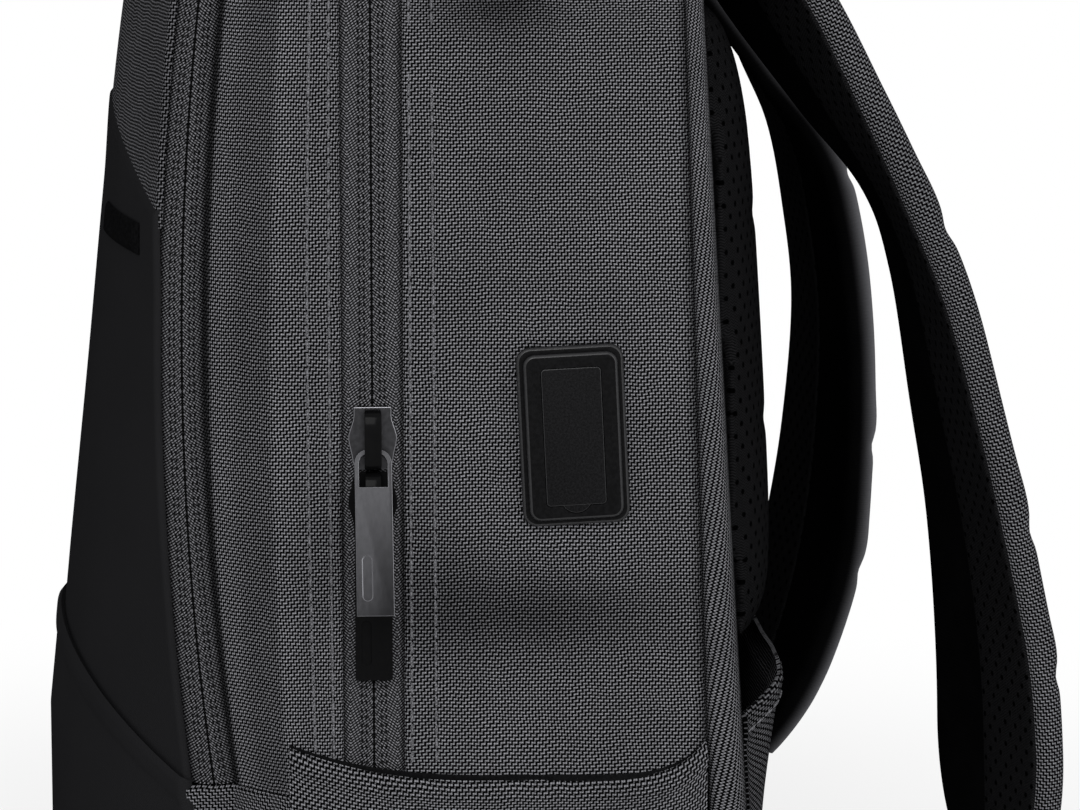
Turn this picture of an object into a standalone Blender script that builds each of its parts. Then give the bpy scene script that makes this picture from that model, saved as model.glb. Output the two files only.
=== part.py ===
"""Laptop backpack with a USB charging port in its side.

A soft shell of sewn panels stands on its base. The front half swings forward on the base seam when the
main zip is open, and the front pocket's lid swings on the same line. Frame: +X is the side with the
USB port, -Y the front, +Z up, with the origin on the floor under the middle of the bag. Metres.
"""

from math import atan2, cos, exp, pi, radians, sin, sqrt

import bmesh
import bpy
from mathutils import Matrix, Vector

# Shell
HALF_WIDTH = 0.152
TOP_Z = 0.448
SHOULDER_Z = 0.358
CORNER_RUN = 0.090
WALL = 0.0015
SEAM_GAP = 0.0008
CLEAR = 0.0003
SIDE_CELLS = 8
ARCH_CELLS = 20
FRONT_CELLS = 16

# Base
BASE_RIM_Z = 0.0945
BASE_FLOOR = 0.003
BASE_ROUND = 0.024
BASE_BACK_Z = 0.030
BASE_TURN = 0.005
BOARD_T = 0.003
BOARD_CORNER = 0.015
BOARD_MARGIN = 0.018
OVERLAY_T = 0.0015
OVERLAY_LOW_Z = 0.026
OVERLAY_BACK_GAP = 0.003
BASE_SEAM_Z = 0.0985
BASE_SEAM_RISE = 0.0115
BASE_SEAM_FRONT_POWER = 2.4
BASE_SEAM_BACK_POWER = 7

# Front
FRONT_HALF_WIDTH = 0.134
FRONT_TOP_Z = 0.428
FRONT_ZIP_Y = -0.078
FRONT_ZIP_RADIUS = 1.0
FRONT_ZIP_MID_Z = 0.225
CREASE_FRACTION = 0.5
CREASE_INSET = 0.0015
CROWN_Y = -0.118
CROWN_Z = 0.141
FRONT_SLOPE = 0.107
CROWN_FADE_Z = 0.290
LOW_SEAM_Z = 0.0960
LOW_SEAM_RISE = 0.0325
HIGH_SEAM_Z = 0.275
HIGH_SEAM_RISE = 0.026
DIVIDER_STATION = 0.8
DIVIDER_GAP = 0.0008
DIVIDER_T = 0.002
BAR_X = 0.087
BAR_Z = 0.2645
BAR_HALF_LENGTH = 0.031
BAR_HALF_HEIGHT = 0.005
BAR_T = 0.002

# Main and pocket zips
MAIN_ZIP_Y = -0.020
MAIN_FOLD = 0.0094
POCKET_FOLD = 0.0065
TAPE_T = 0.001
TAPE_TUCK = 0.006
SPLIT = 0.0016

# Sliders and pulls
SLIDER_LENGTH = 0.0194
SLIDER_WIDTH = 0.015
POCKET_SLIDER_WIDTH = 0.0116
SLIDER_PLATE_T = 0.0015
SLIDER_BRIDGE_WIDTH = 0.005
SLIDER_BRIDGE_T = 0.0012
UPPER_SLIDER_Z = 0.2068
LOWER_SLIDER_Z = 0.1866
POCKET_SLIDER_Z = 0.190
PULL_LENGTH = 0.0515
PULL_WIDTH = 0.0114
PULL_T = 0.0016
PULL_BAR = 0.0014
PULL_WINDOW_WIDTH = 0.0086
PULL_WINDOW_LENGTH = 0.0097
RECESS_WIDTH = 0.0030
RECESS_LENGTH = 0.0140
RECESS_DEPTH = 0.0004
RECESS_Y = -0.0023
RECESS_Z = -0.0391
UPPER_PULL_LEAN = radians(21.0)

# Back
BACK_SEAM_Y = 0.0868
BACK_LEAN = 0.035
BACK_THICK = 0.0145
BACK_TAPER = 0.024
BACK_EDGE_ROUND = 0.006
BACK_LOW_Z = 0.020
BACK_TURN = 0.025
BACK_BOARD_T = 0.0015
BACK_BOARD_MARGIN = 0.014
PAD_INNER_X = 0.014
PAD_OUTER_X = 0.139
PAD_LOW_Z = 0.152
PAD_TOP_Z = 0.336
PAD_CROWN = 0.0180
PAD_CHANNELS = (-0.33, 0.33)
BAND_LOW_Z = 0.048
BAND_TOP_Z = 0.1305
BAND_END_DROP = 0.014
BAND_MARGIN = 0.009
BAND_RISE = 0.0115
BAND_FOOT_SHARE = 0.22
BAND_T = 0.0015

# Pockets inside
SLEEVE_HALF_WIDTH = 0.122
SLEEVE_LOW_Z = 0.034
SLEEVE_TOP_Z = 0.335
SLEEVE_DEPTH = 0.028
SLEEVE_T = 0.003
BANK_POCKET_Y = 0.040
BANK_POCKET_WIDTH = 0.072
BANK_POCKET_LOW_Z = 0.100
BANK_POCKET_TOP_Z = 0.166
BANK_POCKET_DEPTH = 0.016
BANK_POCKET_T = 0.001

# USB port
USB_Y = 0.0412
USB_Z = 0.2074
USB_TILT = radians(2.7)
USB_WIDTH = 0.033
USB_HEIGHT = 0.0555
USB_FLANGE = 0.0030
USB_STEP = 0.0020
USB_STEP_INSET = 0.0028
USB_CORNER = 0.0042
COLLAR_WIDTH = 0.024
COLLAR_HEIGHT = 0.046
COLLAR_DEPTH = 0.010
CLAMP_T = 0.0018
CLAMP_LIP = 0.004
FLAP_WIDTH = 0.0183
FLAP_HEIGHT = 0.0424
FLAP_T = 0.0022
LIP_WIDTH = 0.0085
LIP_REACH = 0.0024
SOCKET_WIDTH = 0.0066
SOCKET_HEIGHT = 0.0141
SOCKET_WALL = 0.0005
SOCKET_LENGTH = 0.0165
TONGUE_T = 0.0018
TONGUE_HEIGHT = 0.0114
TONGUE_LENGTH = 0.0090
HOUSING_DEPTH = 0.0140
GLAND_RADIUS = 0.003

# Haul handle
HANDLE_Y = 0.042
HANDLE_HALF_SPAN = 0.050
HANDLE_RISE = 0.034
HANDLE_WIDTH = 0.025
HANDLE_END_WIDTH = 0.005
HANDLE_T = 0.003
HANDLE_PATCH_T = 0.0015
HANDLE_PATCH_SIZE = 0.022

# Straps: the seam they hang from, the mesh liner, the padded shell over it, and the parts below them
STRAP_TOP_Z = 0.398
LINER_T = 0.003
LINER_GAP = 0.0007
PAD_SHELL_T = 0.0082
STRAP_CELLS = 30
STRAP_SECTION = 12
LOCK_WIDTH = 0.034
LOCK_T = 0.0030
LOCK_BAR = 0.0030
LOCK_SLOT = 0.0062
LOCK_RAIL = 0.0035
LOCK_DROP = 0.0110
WEBBING_WIDTH = 0.025
WEBBING_T = 0.0014
WING_WIDTH = 0.046
TAIL_LENGTH = 0.010
WING_Z = 0.040
WING_MARGIN = 0.002
WEBBING_LEAD = 0.012
WEBBING_SAG = 0.016

# Derived places
ZIP_FACE = WALL + CLEAR
HINGE_Z = BASE_RIM_Z + SEAM_GAP / 2
INSIDE = Vector((0.0, 0.02, 0.22))


def front_zip_y(z):
    """Line of the pocket zip, an arc that bows forward at mid height."""
    rise = z - FRONT_ZIP_MID_Z
    return FRONT_ZIP_Y + FRONT_ZIP_RADIUS - sqrt(FRONT_ZIP_RADIUS ** 2 - rise ** 2)


def back_y(z):
    """Seam plane between the shell and the back panel."""
    return BACK_SEAM_Y - BACK_LEAN * z


def rear_y(z):
    """Rear face of the back panel, which is thicker at the bottom."""
    return back_y(z) + BACK_THICK - BACK_TAPER * z


def front_half_width(z):
    """Half width of the front panel at a height: straight sides, then rounded shoulders."""
    if z <= SHOULDER_Z:
        return FRONT_HALF_WIDTH
    part = min(1.0, (z - SHOULDER_Z) / (FRONT_TOP_Z - SHOULDER_Z))
    return FRONT_HALF_WIDTH - CORNER_RUN + CORNER_RUN * sqrt(1.0 - part * part)


def front_edge_y(z):
    """Edge of the front panel, just ahead of the pocket zip's tape."""
    return front_zip_y(z) - POCKET_FOLD - WALL - CLEAR


def front_y(x, z):
    """Crowned front face: highest along the middle, meeting the zip all round the edge."""
    edge = front_edge_y(z)
    crown = edge - (CROWN_Y + FRONT_SLOPE * (z - CROWN_Z))
    if z > CROWN_FADE_Z:
        part = min(1.0, (z - CROWN_FADE_Z) / (FRONT_TOP_Z - CROWN_FADE_Z))
        crown *= sqrt(1.0 - part * part)
    share = min(1.0, abs(x) / front_half_width(z))
    return edge - crown * (1.0 - share ** 2.2)


def low_seam_z(x):
    """Top of the black base overlay, higher in the middle of the front."""
    return LOW_SEAM_Z + LOW_SEAM_RISE * (1.0 - (x / FRONT_HALF_WIDTH) ** 2)


def high_seam_z(x):
    """Seam between the black front panel and the grey one above it."""
    return HIGH_SEAM_Z + HIGH_SEAM_RISE * (1.0 - (x / FRONT_HALF_WIDTH) ** 2)


HINGE_Y = front_y(0.0, LOW_SEAM_Z) - OVERLAY_T - CLEAR


def arch(t, half_width, top, spring):
    """Point (x, z) on the rounded top outline, from the right spring (0) to the left one (1)."""
    rise = top - spring
    if t < 0.4:
        a = t / 0.4 * pi / 2
        return half_width - CORNER_RUN + CORNER_RUN * cos(a), spring + rise * sin(a)
    if t <= 0.5:
        return (half_width - CORNER_RUN) * (1.0 - (t - 0.4) / 0.1), top
    x, z = arch(1.0 - t, half_width, top, spring)
    return -x, z


def u_path(t, half_width, top, low):
    """Point (x, z) along a whole zip: up the right side, over the arch and down the left side."""
    share = SIDE_CELLS / (2 * SIDE_CELLS + ARCH_CELLS)
    if t < share:
        return half_width, low + (SHOULDER_Z - low) * t / share
    if t <= 0.5:
        return arch((t - share) / (1.0 - 2 * share), half_width, top, SHOULDER_Z)
    x, z = u_path(1.0 - t, half_width, top, low)
    return -x, z


def spline(points, t):
    """Smooth curve through points, for t from 0 to 1."""
    count = len(points) - 1
    at = min(max(t, 0.0), 1.0) * count
    i = min(int(at), count - 1)
    f = at - i
    p1, p2 = points[i], points[i + 1]
    p0 = points[i - 1] if i > 0 else p1 * 2 - p2
    p3 = points[i + 2] if i + 2 <= count else p2 * 2 - p1
    return 0.5 * (2 * p1 + (p2 - p0) * f + (2 * p0 - 5 * p1 + 4 * p2 - p3) * f * f
                  + (3 * p1 - p0 - 3 * p2 + p3) * f ** 3)


def smooth(value):
    """Ease from 0 to 1."""
    value = min(max(value, 0.0), 1.0)
    return value * value * (3.0 - 2.0 * value)


# Scene, collections and materials
for old in list(bpy.data.objects):
    bpy.data.objects.remove(old, do_unlink=True)
BAG = bpy.data.collections.new("usb_backpack")
CUTTERS = bpy.data.collections.new("cutters")
bpy.context.scene.collection.children.link(BAG)
bpy.context.scene.collection.children.link(CUTTERS)


def material(name, grey, roughness, metallic=0.0):
    """Neutral material: every piece of the bag is black, grey or gunmetal."""
    made = bpy.data.materials.new(name)
    made.use_nodes = True
    shader = made.node_tree.nodes["Principled BSDF"]
    shader.inputs["Base Color"].default_value = (grey, grey, grey * 1.06, 1.0)
    shader.inputs["Roughness"].default_value = roughness
    shader.inputs["Metallic"].default_value = metallic
    return made


WEAVE = material("grey_weave", 0.060, 0.80)
BLACK_CLOTH = material("black_coated_cloth", 0.012, 0.55)
TAPE = material("zip_tape", 0.050, 0.75)
MESH = material("black_mesh", 0.008, 0.90)
LINING = material("lining", 0.050, 0.80)
BOARD = material("stiffener", 0.020, 0.60)
RUBBER = material("socket_rubber", 0.016, 0.45)
PLASTIC = material("black_plastic", 0.014, 0.40)
STEEL = material("socket_steel", 0.550, 0.30, 1.0)
GUNMETAL = material("gunmetal", 0.070, 0.30, 1.0)
WEBBING = material("webbing", 0.020, 0.80)


def add_object(name, mesh, look, parent=None, place=None, cutter=False):
    """New object from a mesh. With a parent, place is given in the parent's own frame."""
    made = bpy.data.objects.new(name, mesh)
    (CUTTERS if cutter else BAG).objects.link(made)
    made.data.materials.clear()
    made.data.materials.append(look)
    if place is not None:
        made.matrix_world = place
    if parent is not None:
        made.parent = parent
    if cutter:
        made.hide_render = True
        made.display_type = "WIRE"
    return made


def add_axis(name, place):
    """Empty that carries the pieces turning or riding on one axis."""
    made = bpy.data.objects.new(name, None)
    made.empty_display_size = 0.02
    BAG.objects.link(made)
    made.matrix_world = place
    return made


def ride_on(made, axis):
    """Hang a piece drawn in the bag's frame on an axis, leaving it where it is."""
    made.parent = axis
    made.matrix_parent_inverse = axis.matrix_world.inverted()
    return made


def sheet(name, look, cells, place, thickness, inside=INSIDE, outward=False, parent=None, cutter=False):
    """Cloth: a grid laid on a surface and thickened to its inner side, or outward."""
    bm = bmesh.new()
    bmesh.ops.create_grid(bm, x_segments=cells[0], y_segments=cells[1], size=0.5)
    for vert in bm.verts:
        vert.co = place(vert.co.x + 0.5, vert.co.y + 0.5)
    bmesh.ops.remove_doubles(bm, verts=bm.verts, dist=0.00002)
    bm.normal_update()
    lean = sum(f.normal.dot(f.calc_center_median() - inside) * f.calc_area() for f in bm.faces)
    if lean < 0:
        bmesh.ops.reverse_faces(bm, faces=bm.faces)
    mesh = bpy.data.meshes.new(name)
    bm.to_mesh(mesh)
    bm.free()
    made = add_object(name, mesh, look, parent, cutter=cutter)
    solid = made.modifiers.new("thickness", "SOLIDIFY")
    solid.thickness = thickness
    solid.offset = 1.0 if outward else -1.0
    solid.use_even_offset = True
    return made


def face_outward(bm):
    """Turn a closed body's faces to the outside."""
    bmesh.ops.recalc_face_normals(bm, faces=bm.faces)
    if bm.calc_volume(signed=True) < 0:
        bmesh.ops.reverse_faces(bm, faces=bm.faces)


def loft(name, look, rings):
    """Closed body through rings of matching points, with both ends capped."""
    bm = bmesh.new()
    loops = [[bm.verts.new(point) for point in ring] for ring in rings]
    count = len(loops[0])
    for low, high in zip(loops, loops[1:]):
        for i in range(count):
            j = (i + 1) % count
            bm.faces.new((low[i], low[j], high[j], high[i]))
    bm.faces.new(loops[0])
    bm.faces.new(loops[-1])
    face_outward(bm)
    mesh = bpy.data.meshes.new(name)
    bm.to_mesh(mesh)
    bm.free()
    return add_object(name, mesh, look)


def rounded_rect(width, height, radius, steps=4):
    """Outline of a rectangle with round corners, centred on the origin."""
    points = []
    for k in range(4):
        cx = (width / 2 - radius) * (1 if k in (0, 3) else -1)
        cy = (height / 2 - radius) * (1 if k in (0, 1) else -1)
        for i in range(steps + 1):
            a = (k + i / steps) * pi / 2
            points.append((cx + radius * cos(a), cy + radius * sin(a)))
    return points


def prism(name, look, outline, low, high, parent=None, place=None, cutter=False):
    """Flat plate: an outline in the local YZ plane, extruded along local X from low to high."""
    curve = bpy.data.curves.new(name, "CURVE")
    curve.dimensions = "2D"
    curve.fill_mode = "BOTH"
    curve.extrude = (high - low) / 2
    line = curve.splines.new("POLY")
    line.points.add(len(outline) - 1)
    for point, (u, v) in zip(line.points, outline):
        point.co = (u, v, 0.0, 1.0)
    line.use_cyclic_u = True
    holder = bpy.data.objects.new(name + "_outline", curve)
    CUTTERS.objects.link(holder)
    bpy.context.view_layer.update()
    graph = bpy.context.evaluated_depsgraph_get()
    mesh = bpy.data.meshes.new_from_object(holder.evaluated_get(graph))
    bpy.data.objects.remove(holder, do_unlink=True)
    bpy.data.curves.remove(curve)
    bm = bmesh.new()
    bm.from_mesh(mesh)
    bmesh.ops.remove_doubles(bm, verts=bm.verts, dist=0.00001)
    middle = (low + high) / 2
    for vert in bm.verts:
        u, v, w = vert.co
        vert.co = (w + middle, u, v)
    face_outward(bm)
    bm.to_mesh(mesh)
    bm.free()
    return add_object(name, mesh, look, parent, place, cutter)


def lying_flat(x, y, z):
    """Place for a plate that lies level, its thickness measured up from a point."""
    return Matrix.Translation((x, y, z)) @ Matrix.Rotation(-pi / 2, 4, "Y")


def boolean(target, tool, operation):
    """Cut a tool out of a piece, or join it on."""
    step = target.modifiers.new(operation.lower(), "BOOLEAN")
    step.operation = operation
    step.object = tool
    step.solver = "EXACT"


def bevel(target, width, segments=2):
    """Round the piece's sharp edges."""
    step = target.modifiers.new("edges", "BEVEL")
    step.width = width
    step.segments = segments
    step.limit_method = "ANGLE"
    step.angle_limit = radians(50)


# Axis of the front half and of the pocket lid: the base seam's most forward line
MAIN_AXIS = add_axis("main_opening_axis", Matrix.Translation((0.0, HINGE_Y, HINGE_Z)))
LID_AXIS = add_axis("pocket_opening_axis", Matrix.Translation((0.0, HINGE_Y, HINGE_Z)))


# Shell of the rear half: two sides and the top, sewn to the main zip in front and the back panel behind
def rear_point(x, z, depth):
    """Point of the rear shell at a share of the way from the zip's fold to the back seam."""
    front = MAIN_ZIP_Y + MAIN_FOLD
    return Vector((x, front + (back_y(z) - SEAM_GAP - front) * depth, z))


def rear_side(side):
    low = BASE_RIM_Z + SEAM_GAP
    high = SHOULDER_Z - SEAM_GAP / 2
    return lambda u, v: rear_point(side * HALF_WIDTH, low + (high - low) * v, u)


def rear_top(u, v):
    x, z = arch(u, HALF_WIDTH, TOP_Z, SHOULDER_Z + SEAM_GAP / 2)
    return rear_point(x, z, v)


right_side = sheet("right_side_panel", WEAVE, (4, 4), rear_side(1), WALL)
sheet("left_side_panel", WEAVE, (4, 4), rear_side(-1), WALL)
sheet("top_panel", WEAVE, (ARCH_CELLS, 3), rear_top, WALL)


# Gusset of the front half: flat beside the main zip, then a crease and a slope in to the pocket zip
def gusset_station(v, z):
    """Inset of the outline and y at a share of the way from the main fold to the pocket zip."""
    start = MAIN_ZIP_Y - MAIN_FOLD
    end = front_zip_y(z) + POCKET_FOLD
    crease = start + (end - start) * CREASE_FRACTION
    if v <= 0.5:
        return v / 0.5 * CREASE_INSET / HALF_WIDTH, start + (crease - start) * v / 0.5
    part = (v - 0.5) / 0.5
    first = CREASE_INSET / HALF_WIDTH
    return first + (1.0 - first) * part, crease + (end - crease) * part


def gusset_size(v):
    """Half width and top of the outline at a station, between the main zip's and the pocket zip's."""
    inset = gusset_station(v, SHOULDER_Z)[0]
    return HALF_WIDTH + (FRONT_HALF_WIDTH - HALF_WIDTH) * inset, TOP_Z + (FRONT_TOP_Z - TOP_Z) * inset


def gusset_side(side):
    low = LOW_SEAM_Z + SEAM_GAP
    high = SHOULDER_Z - SEAM_GAP / 2

    def place(u, v):
        z = low + (high - low) * v
        return Vector((side * gusset_size(u)[0], gusset_station(u, z)[1], z))
    return place


def gusset_top(u, v):
    half_width, top = gusset_size(v)
    x, z = arch(u, half_width, top, SHOULDER_Z + SEAM_GAP / 2)
    return Vector((x, gusset_station(v, z)[1], z))


ride_on(sheet("right_gusset", WEAVE, (4, SIDE_CELLS), gusset_side(1), WALL), MAIN_AXIS)
ride_on(sheet("left_gusset", WEAVE, (4, SIDE_CELLS), gusset_side(-1), WALL), MAIN_AXIS)
ride_on(sheet("top_gusset", WEAVE, (ARCH_CELLS, 4), gusset_top, WALL), MAIN_AXIS)


# Zips: each tape lies under the cloth's folded edge and ends at the split
def zip_tape(name, half_width, top, line, near, far, low, axis=None):
    """Half of a zip from one side's base over the arch to the other, between two offsets in y."""
    def place(u, v):
        x, z = u_path(u, half_width - ZIP_FACE, top - ZIP_FACE, low)
        return Vector((x, line(z) + near + (far - near) * v, z))
    made = sheet(name, TAPE, (2 * SIDE_CELLS + ARCH_CELLS, 1), place, TAPE_T)
    return ride_on(made, axis) if axis else made


def main_line(z):
    return MAIN_ZIP_Y


MAIN_TAPE_LOW = BASE_RIM_Z + SEAM_GAP
zip_tape("main_zip_rear_tape", HALF_WIDTH, TOP_Z, main_line, SPLIT / 2, MAIN_FOLD + TAPE_TUCK,
         MAIN_TAPE_LOW)
zip_tape("main_zip_front_tape", HALF_WIDTH, TOP_Z, main_line, -SPLIT / 2, -MAIN_FOLD - TAPE_TUCK,
         MAIN_TAPE_LOW, MAIN_AXIS)
zip_tape("pocket_zip_rear_tape", FRONT_HALF_WIDTH - CLEAR, FRONT_TOP_Z - CLEAR, front_zip_y, SPLIT / 2,
         POCKET_FOLD - CLEAR, LOW_SEAM_Z + SEAM_GAP, MAIN_AXIS)
zip_tape("pocket_zip_lid_tape", FRONT_HALF_WIDTH - CLEAR, FRONT_TOP_Z - CLEAR, front_zip_y, -SPLIT / 2,
         -POCKET_FOLD, LOW_SEAM_Z + SEAM_GAP, LID_AXIS)


# Outline shared by the pocket's lid and the wall behind it
def lid_column(u, half_width=FRONT_HALF_WIDTH):
    return half_width * sin((u - 0.5) * pi)


def lid_top_z(x, half_width=FRONT_HALF_WIDTH, top=FRONT_TOP_Z):
    reach = max(0.0, (abs(x) - half_width + CORNER_RUN) / CORNER_RUN)
    return SHOULDER_Z + (top - SHOULDER_Z) * sqrt(max(0.0, 1.0 - reach * reach))


# Pocket divider: the wall between the main compartment and the front pocket, sewn inside the gusset
def gusset_inside(v):
    """Half width and top just inside the gusset's sloping wall at a station."""
    wide, tall = gusset_size(v)
    narrow, low = gusset_size(1.0)
    run = (1.0 - v) * (MAIN_ZIP_Y - MAIN_FOLD - FRONT_ZIP_Y - POCKET_FOLD)
    over = (1.0 - v) * (MAIN_ZIP_Y - MAIN_FOLD - front_zip_y(FRONT_TOP_Z) - POCKET_FOLD)
    side_fit = WALL * sqrt(1.0 + ((wide - narrow) / run) ** 2) + DIVIDER_GAP
    top_fit = WALL * sqrt(1.0 + ((tall - low) / over) ** 2) + DIVIDER_GAP
    return wide - side_fit, tall - top_fit


def divider(u, v):
    half_width, top = gusset_inside(DIVIDER_STATION)
    x = lid_column(u, half_width)
    low = LOW_SEAM_Z + SEAM_GAP
    z = low + (lid_top_z(x, half_width, top) - low) * v
    return Vector((x, gusset_station(DIVIDER_STATION, z)[1], z))


ride_on(sheet("pocket_divider", LINING, (12, SIDE_CELLS), divider, DIVIDER_T), MAIN_AXIS)


# Pocket lid: the black front panel and the grey one above it
def black_front(u, v):
    x = lid_column(u)
    low = low_seam_z(x) + SEAM_GAP
    z = low + (high_seam_z(x) - SEAM_GAP / 2 - low) * v
    return Vector((x, front_y(x, z), z))


def grey_front(u, v):
    x = lid_column(u)
    low = high_seam_z(x) + SEAM_GAP / 2
    z = low + (lid_top_z(x) - low) * v
    return Vector((x, front_y(x, z), z))


ride_on(sheet("front_panel_black", BLACK_CLOTH, (FRONT_CELLS, 8), black_front, WALL), LID_AXIS)
ride_on(sheet("front_panel_grey", WEAVE, (FRONT_CELLS, 8), grey_front, WALL), LID_AXIS)


def front_bar(u, v):
    x = BAR_X + BAR_HALF_LENGTH * (2 * u - 1)
    z = BAR_Z + BAR_HALF_HEIGHT * (2 * v - 1)
    return Vector((x, front_y(x, z) - 2 * CLEAR, z))


ride_on(sheet("front_bar", RUBBER, (8, 2), front_bar, BAR_T, outward=True), LID_AXIS)


# Base: a tray with rounded edges, a board on its floor, and overlays that stand proud of the shell
def base_plan():
    """Plan of the base at its rim: round the back corners, the sides, the gusset's slope, the front."""
    half = []
    z = BASE_RIM_Z
    back = back_y(z) - SEAM_GAP - CLEAR
    turn = BASE_TURN
    half.append((0.0, back))
    half.append((HALF_WIDTH / 2, back))
    for i in range(4):
        a = i / 3 * pi / 2
        half.append((HALF_WIDTH - turn + turn * sin(a), back - turn + turn * cos(a)))
    for i in range(1, 5):
        half.append((HALF_WIDTH, back - turn + (MAIN_ZIP_Y - back + turn) * i / 4))
    for v in (0.5, 1.0):
        half.append((gusset_size(v)[0], gusset_station(v, z)[1]))
    for i in range(FRONT_CELLS // 2 + 1):
        x = lid_column(1.0 - i / FRONT_CELLS)
        half.append((x, front_y(x, z)))
    return half + [(-x, y) for x, y in reversed(half[1:-1])]


PLAN = base_plan()
PLAN_MID_Y = (PLAN[0][1] + HINGE_Y) / 2
PLAN_HALF_DEPTH = (PLAN[0][1] - HINGE_Y) / 2


def base_tray(u, v):
    x, y = PLAN[round(u * len(PLAN)) % len(PLAN)]
    step = round(v * 7)
    if step == 0:
        return Vector((0.0, PLAN_MID_Y, 0.0))
    rim = BASE_BACK_Z if y > PLAN[0][1] - BASE_TURN * 0.6 else BASE_RIM_Z
    inset, z = 0.0, rim
    if step < 6:
        a = (step - 1) / 4 * pi / 2
        inset, z = BASE_ROUND * (1.0 - sin(a)), BASE_ROUND * (1.0 - cos(a))
    if step == 6:
        z = (BASE_ROUND + rim) / 2
    depth = (y - PLAN_MID_Y) * (1.0 - inset / PLAN_HALF_DEPTH)
    return Vector((x * (1.0 - inset / HALF_WIDTH), PLAN_MID_Y + depth, z))


sheet("base_tray", WEAVE, (len(PLAN), 7), base_tray, BASE_FLOOR, inside=Vector((0.0, PLAN_MID_Y, 0.2)))

board_depth = (PLAN_HALF_DEPTH - BASE_ROUND - BOARD_MARGIN) * 2
board_width = (FRONT_HALF_WIDTH - BASE_ROUND - BOARD_MARGIN) * 2
prism("base_board", BOARD, rounded_rect(board_depth, board_width, BOARD_CORNER), BASE_FLOOR + CLEAR,
      BASE_FLOOR + CLEAR + BOARD_T, place=lying_flat(0.0, PLAN_MID_Y + BOARD_MARGIN / 2, 0.0))


def side_overlay(side):
    """Grey overlay on each side of the base, from the crease back, with a raised top seam."""
    front = gusset_station(0.5, BASE_RIM_Z)[1]
    back = back_y(BASE_RIM_Z) - OVERLAY_BACK_GAP

    def place(u, v):
        y = front + (back - front) * u
        power = BASE_SEAM_FRONT_POWER if u < 0.5 else BASE_SEAM_BACK_POWER
        top = BASE_SEAM_Z + BASE_SEAM_RISE * abs(2.0 * u - 1.0) ** power
        return Vector((side * (HALF_WIDTH + CLEAR), y, OVERLAY_LOW_Z + (top - OVERLAY_LOW_Z) * v))
    return place


sheet("right_base_overlay", WEAVE, (16, 4), side_overlay(1), OVERLAY_T, outward=True)
sheet("left_base_overlay", WEAVE, (16, 4), side_overlay(-1), OVERLAY_T, outward=True)


def front_overlay(u, v):
    x = lid_column(u)
    z = OVERLAY_LOW_Z + (BASE_RIM_Z - OVERLAY_LOW_Z) * v / 0.6
    if v > 0.6:
        z = BASE_RIM_Z + (low_seam_z(x) - BASE_RIM_Z) * (v - 0.6) / 0.4
    return Vector((x, front_y(x, max(z, BASE_RIM_Z)) - CLEAR, z))


sheet("front_base_overlay", BLACK_CLOTH, (FRONT_CELLS, 5), front_overlay, OVERLAY_T, outward=True)


# Back: a padded panel, a stiff board in front of it, two mesh pads and the trolley band behind it
def back_loop(inset, y_of):
    """Closed outline of the back panel, drawn in by an inset, on a surface y of z."""
    half_width = HALF_WIDTH - inset
    low = BACK_LOW_Z + inset
    turn = BACK_TURN
    half = []
    for i in range(5):
        a = (i / 4 - 1.0) * pi / 2
        half.append((half_width - turn + turn * cos(a), low + turn + turn * sin(a)))
    for i in range(1, 5):
        half.append((half_width, low + turn + (SHOULDER_Z - low - turn) * i / 4))
    for i in range(1, ARCH_CELLS // 2 + 1):
        half.append(arch(i / ARCH_CELLS, half_width, TOP_Z - inset, SHOULDER_Z))
    points = half + [(-x, z) for x, z in reversed(half[:-1])]
    return [Vector((x, y_of(z), z)) for x, z in points]


def back_middle_y(z):
    return back_y(z) + (rear_y(z) - back_y(z)) * 0.55


loft("back_panel", WEAVE, [back_loop(0.0, back_y), back_loop(0.0, back_middle_y),
                           back_loop(BACK_EDGE_ROUND, rear_y)])


def back_board(u, v):
    z = SLEEVE_LOW_Z + BACK_BOARD_MARGIN + (SHOULDER_Z - SLEEVE_LOW_Z) * v
    return Vector(((SLEEVE_HALF_WIDTH - BACK_BOARD_MARGIN) * (2 * u - 1), back_y(z) - CLEAR, z))


sheet("back_board", BOARD, (2, 2), back_board, BACK_BOARD_T, inside=Vector((0.0, -0.1, 0.2)))


def back_pad(name, side):
    """Mesh pad with a crown, drawn-in edges and two stitched channels that fade out before its edges."""
    rings = []
    middle = (PAD_INNER_X + PAD_OUTER_X) / 2
    half = (PAD_OUTER_X - PAD_INNER_X) / 2
    for i in range(29):
        share = 2.0 * i / 28 - 1.0
        z = PAD_LOW_Z + (PAD_TOP_Z - PAD_LOW_Z) * i / 28
        swell = (1.0 - 0.94 * abs(share) ** 5) ** 0.5
        width = half * (1.0 - 0.16 * abs(share) ** 6)
        height = PAD_CROWN * swell
        press = sum(0.42 * exp(-((share - channel) / 0.05) ** 2) for channel in PAD_CHANNELS)
        base = rear_y(z) + CLEAR
        ring = [Vector((side * (middle - width), base, z))]
        for j in range(13):
            q = sin((j / 12 - 0.5) * pi)
            rise = (0.12 + 0.88 * (1.0 - abs(q) ** 3.5)) * (1.0 - press * (1.0 - q ** 4))
            ring.append(Vector((side * (middle + width * q), base + height * rise, z)))
        ring.append(Vector((side * (middle + width), base, z)))
        rings.append(ring)
    return loft(name, MESH, rings)


back_pad("right_back_pad", 1)
back_pad("left_back_pad", -1)


def trolley_band(u, v):
    across = sin((u - 0.5) * pi)
    top = BAND_TOP_Z - BAND_END_DROP * (1.0 - smooth((1.0 - abs(across)) / 0.14))
    z = BAND_LOW_Z + (top - BAND_LOW_Z) * v
    lift = BAND_RISE * (BAND_FOOT_SHARE + (1.0 - BAND_FOOT_SHARE) * v ** 1.8)
    lift *= smooth((1.0 - abs(across)) / 0.10)
    return Vector(((HALF_WIDTH - BAND_MARGIN) * across, rear_y(z) + CLEAR + lift, z))


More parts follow.
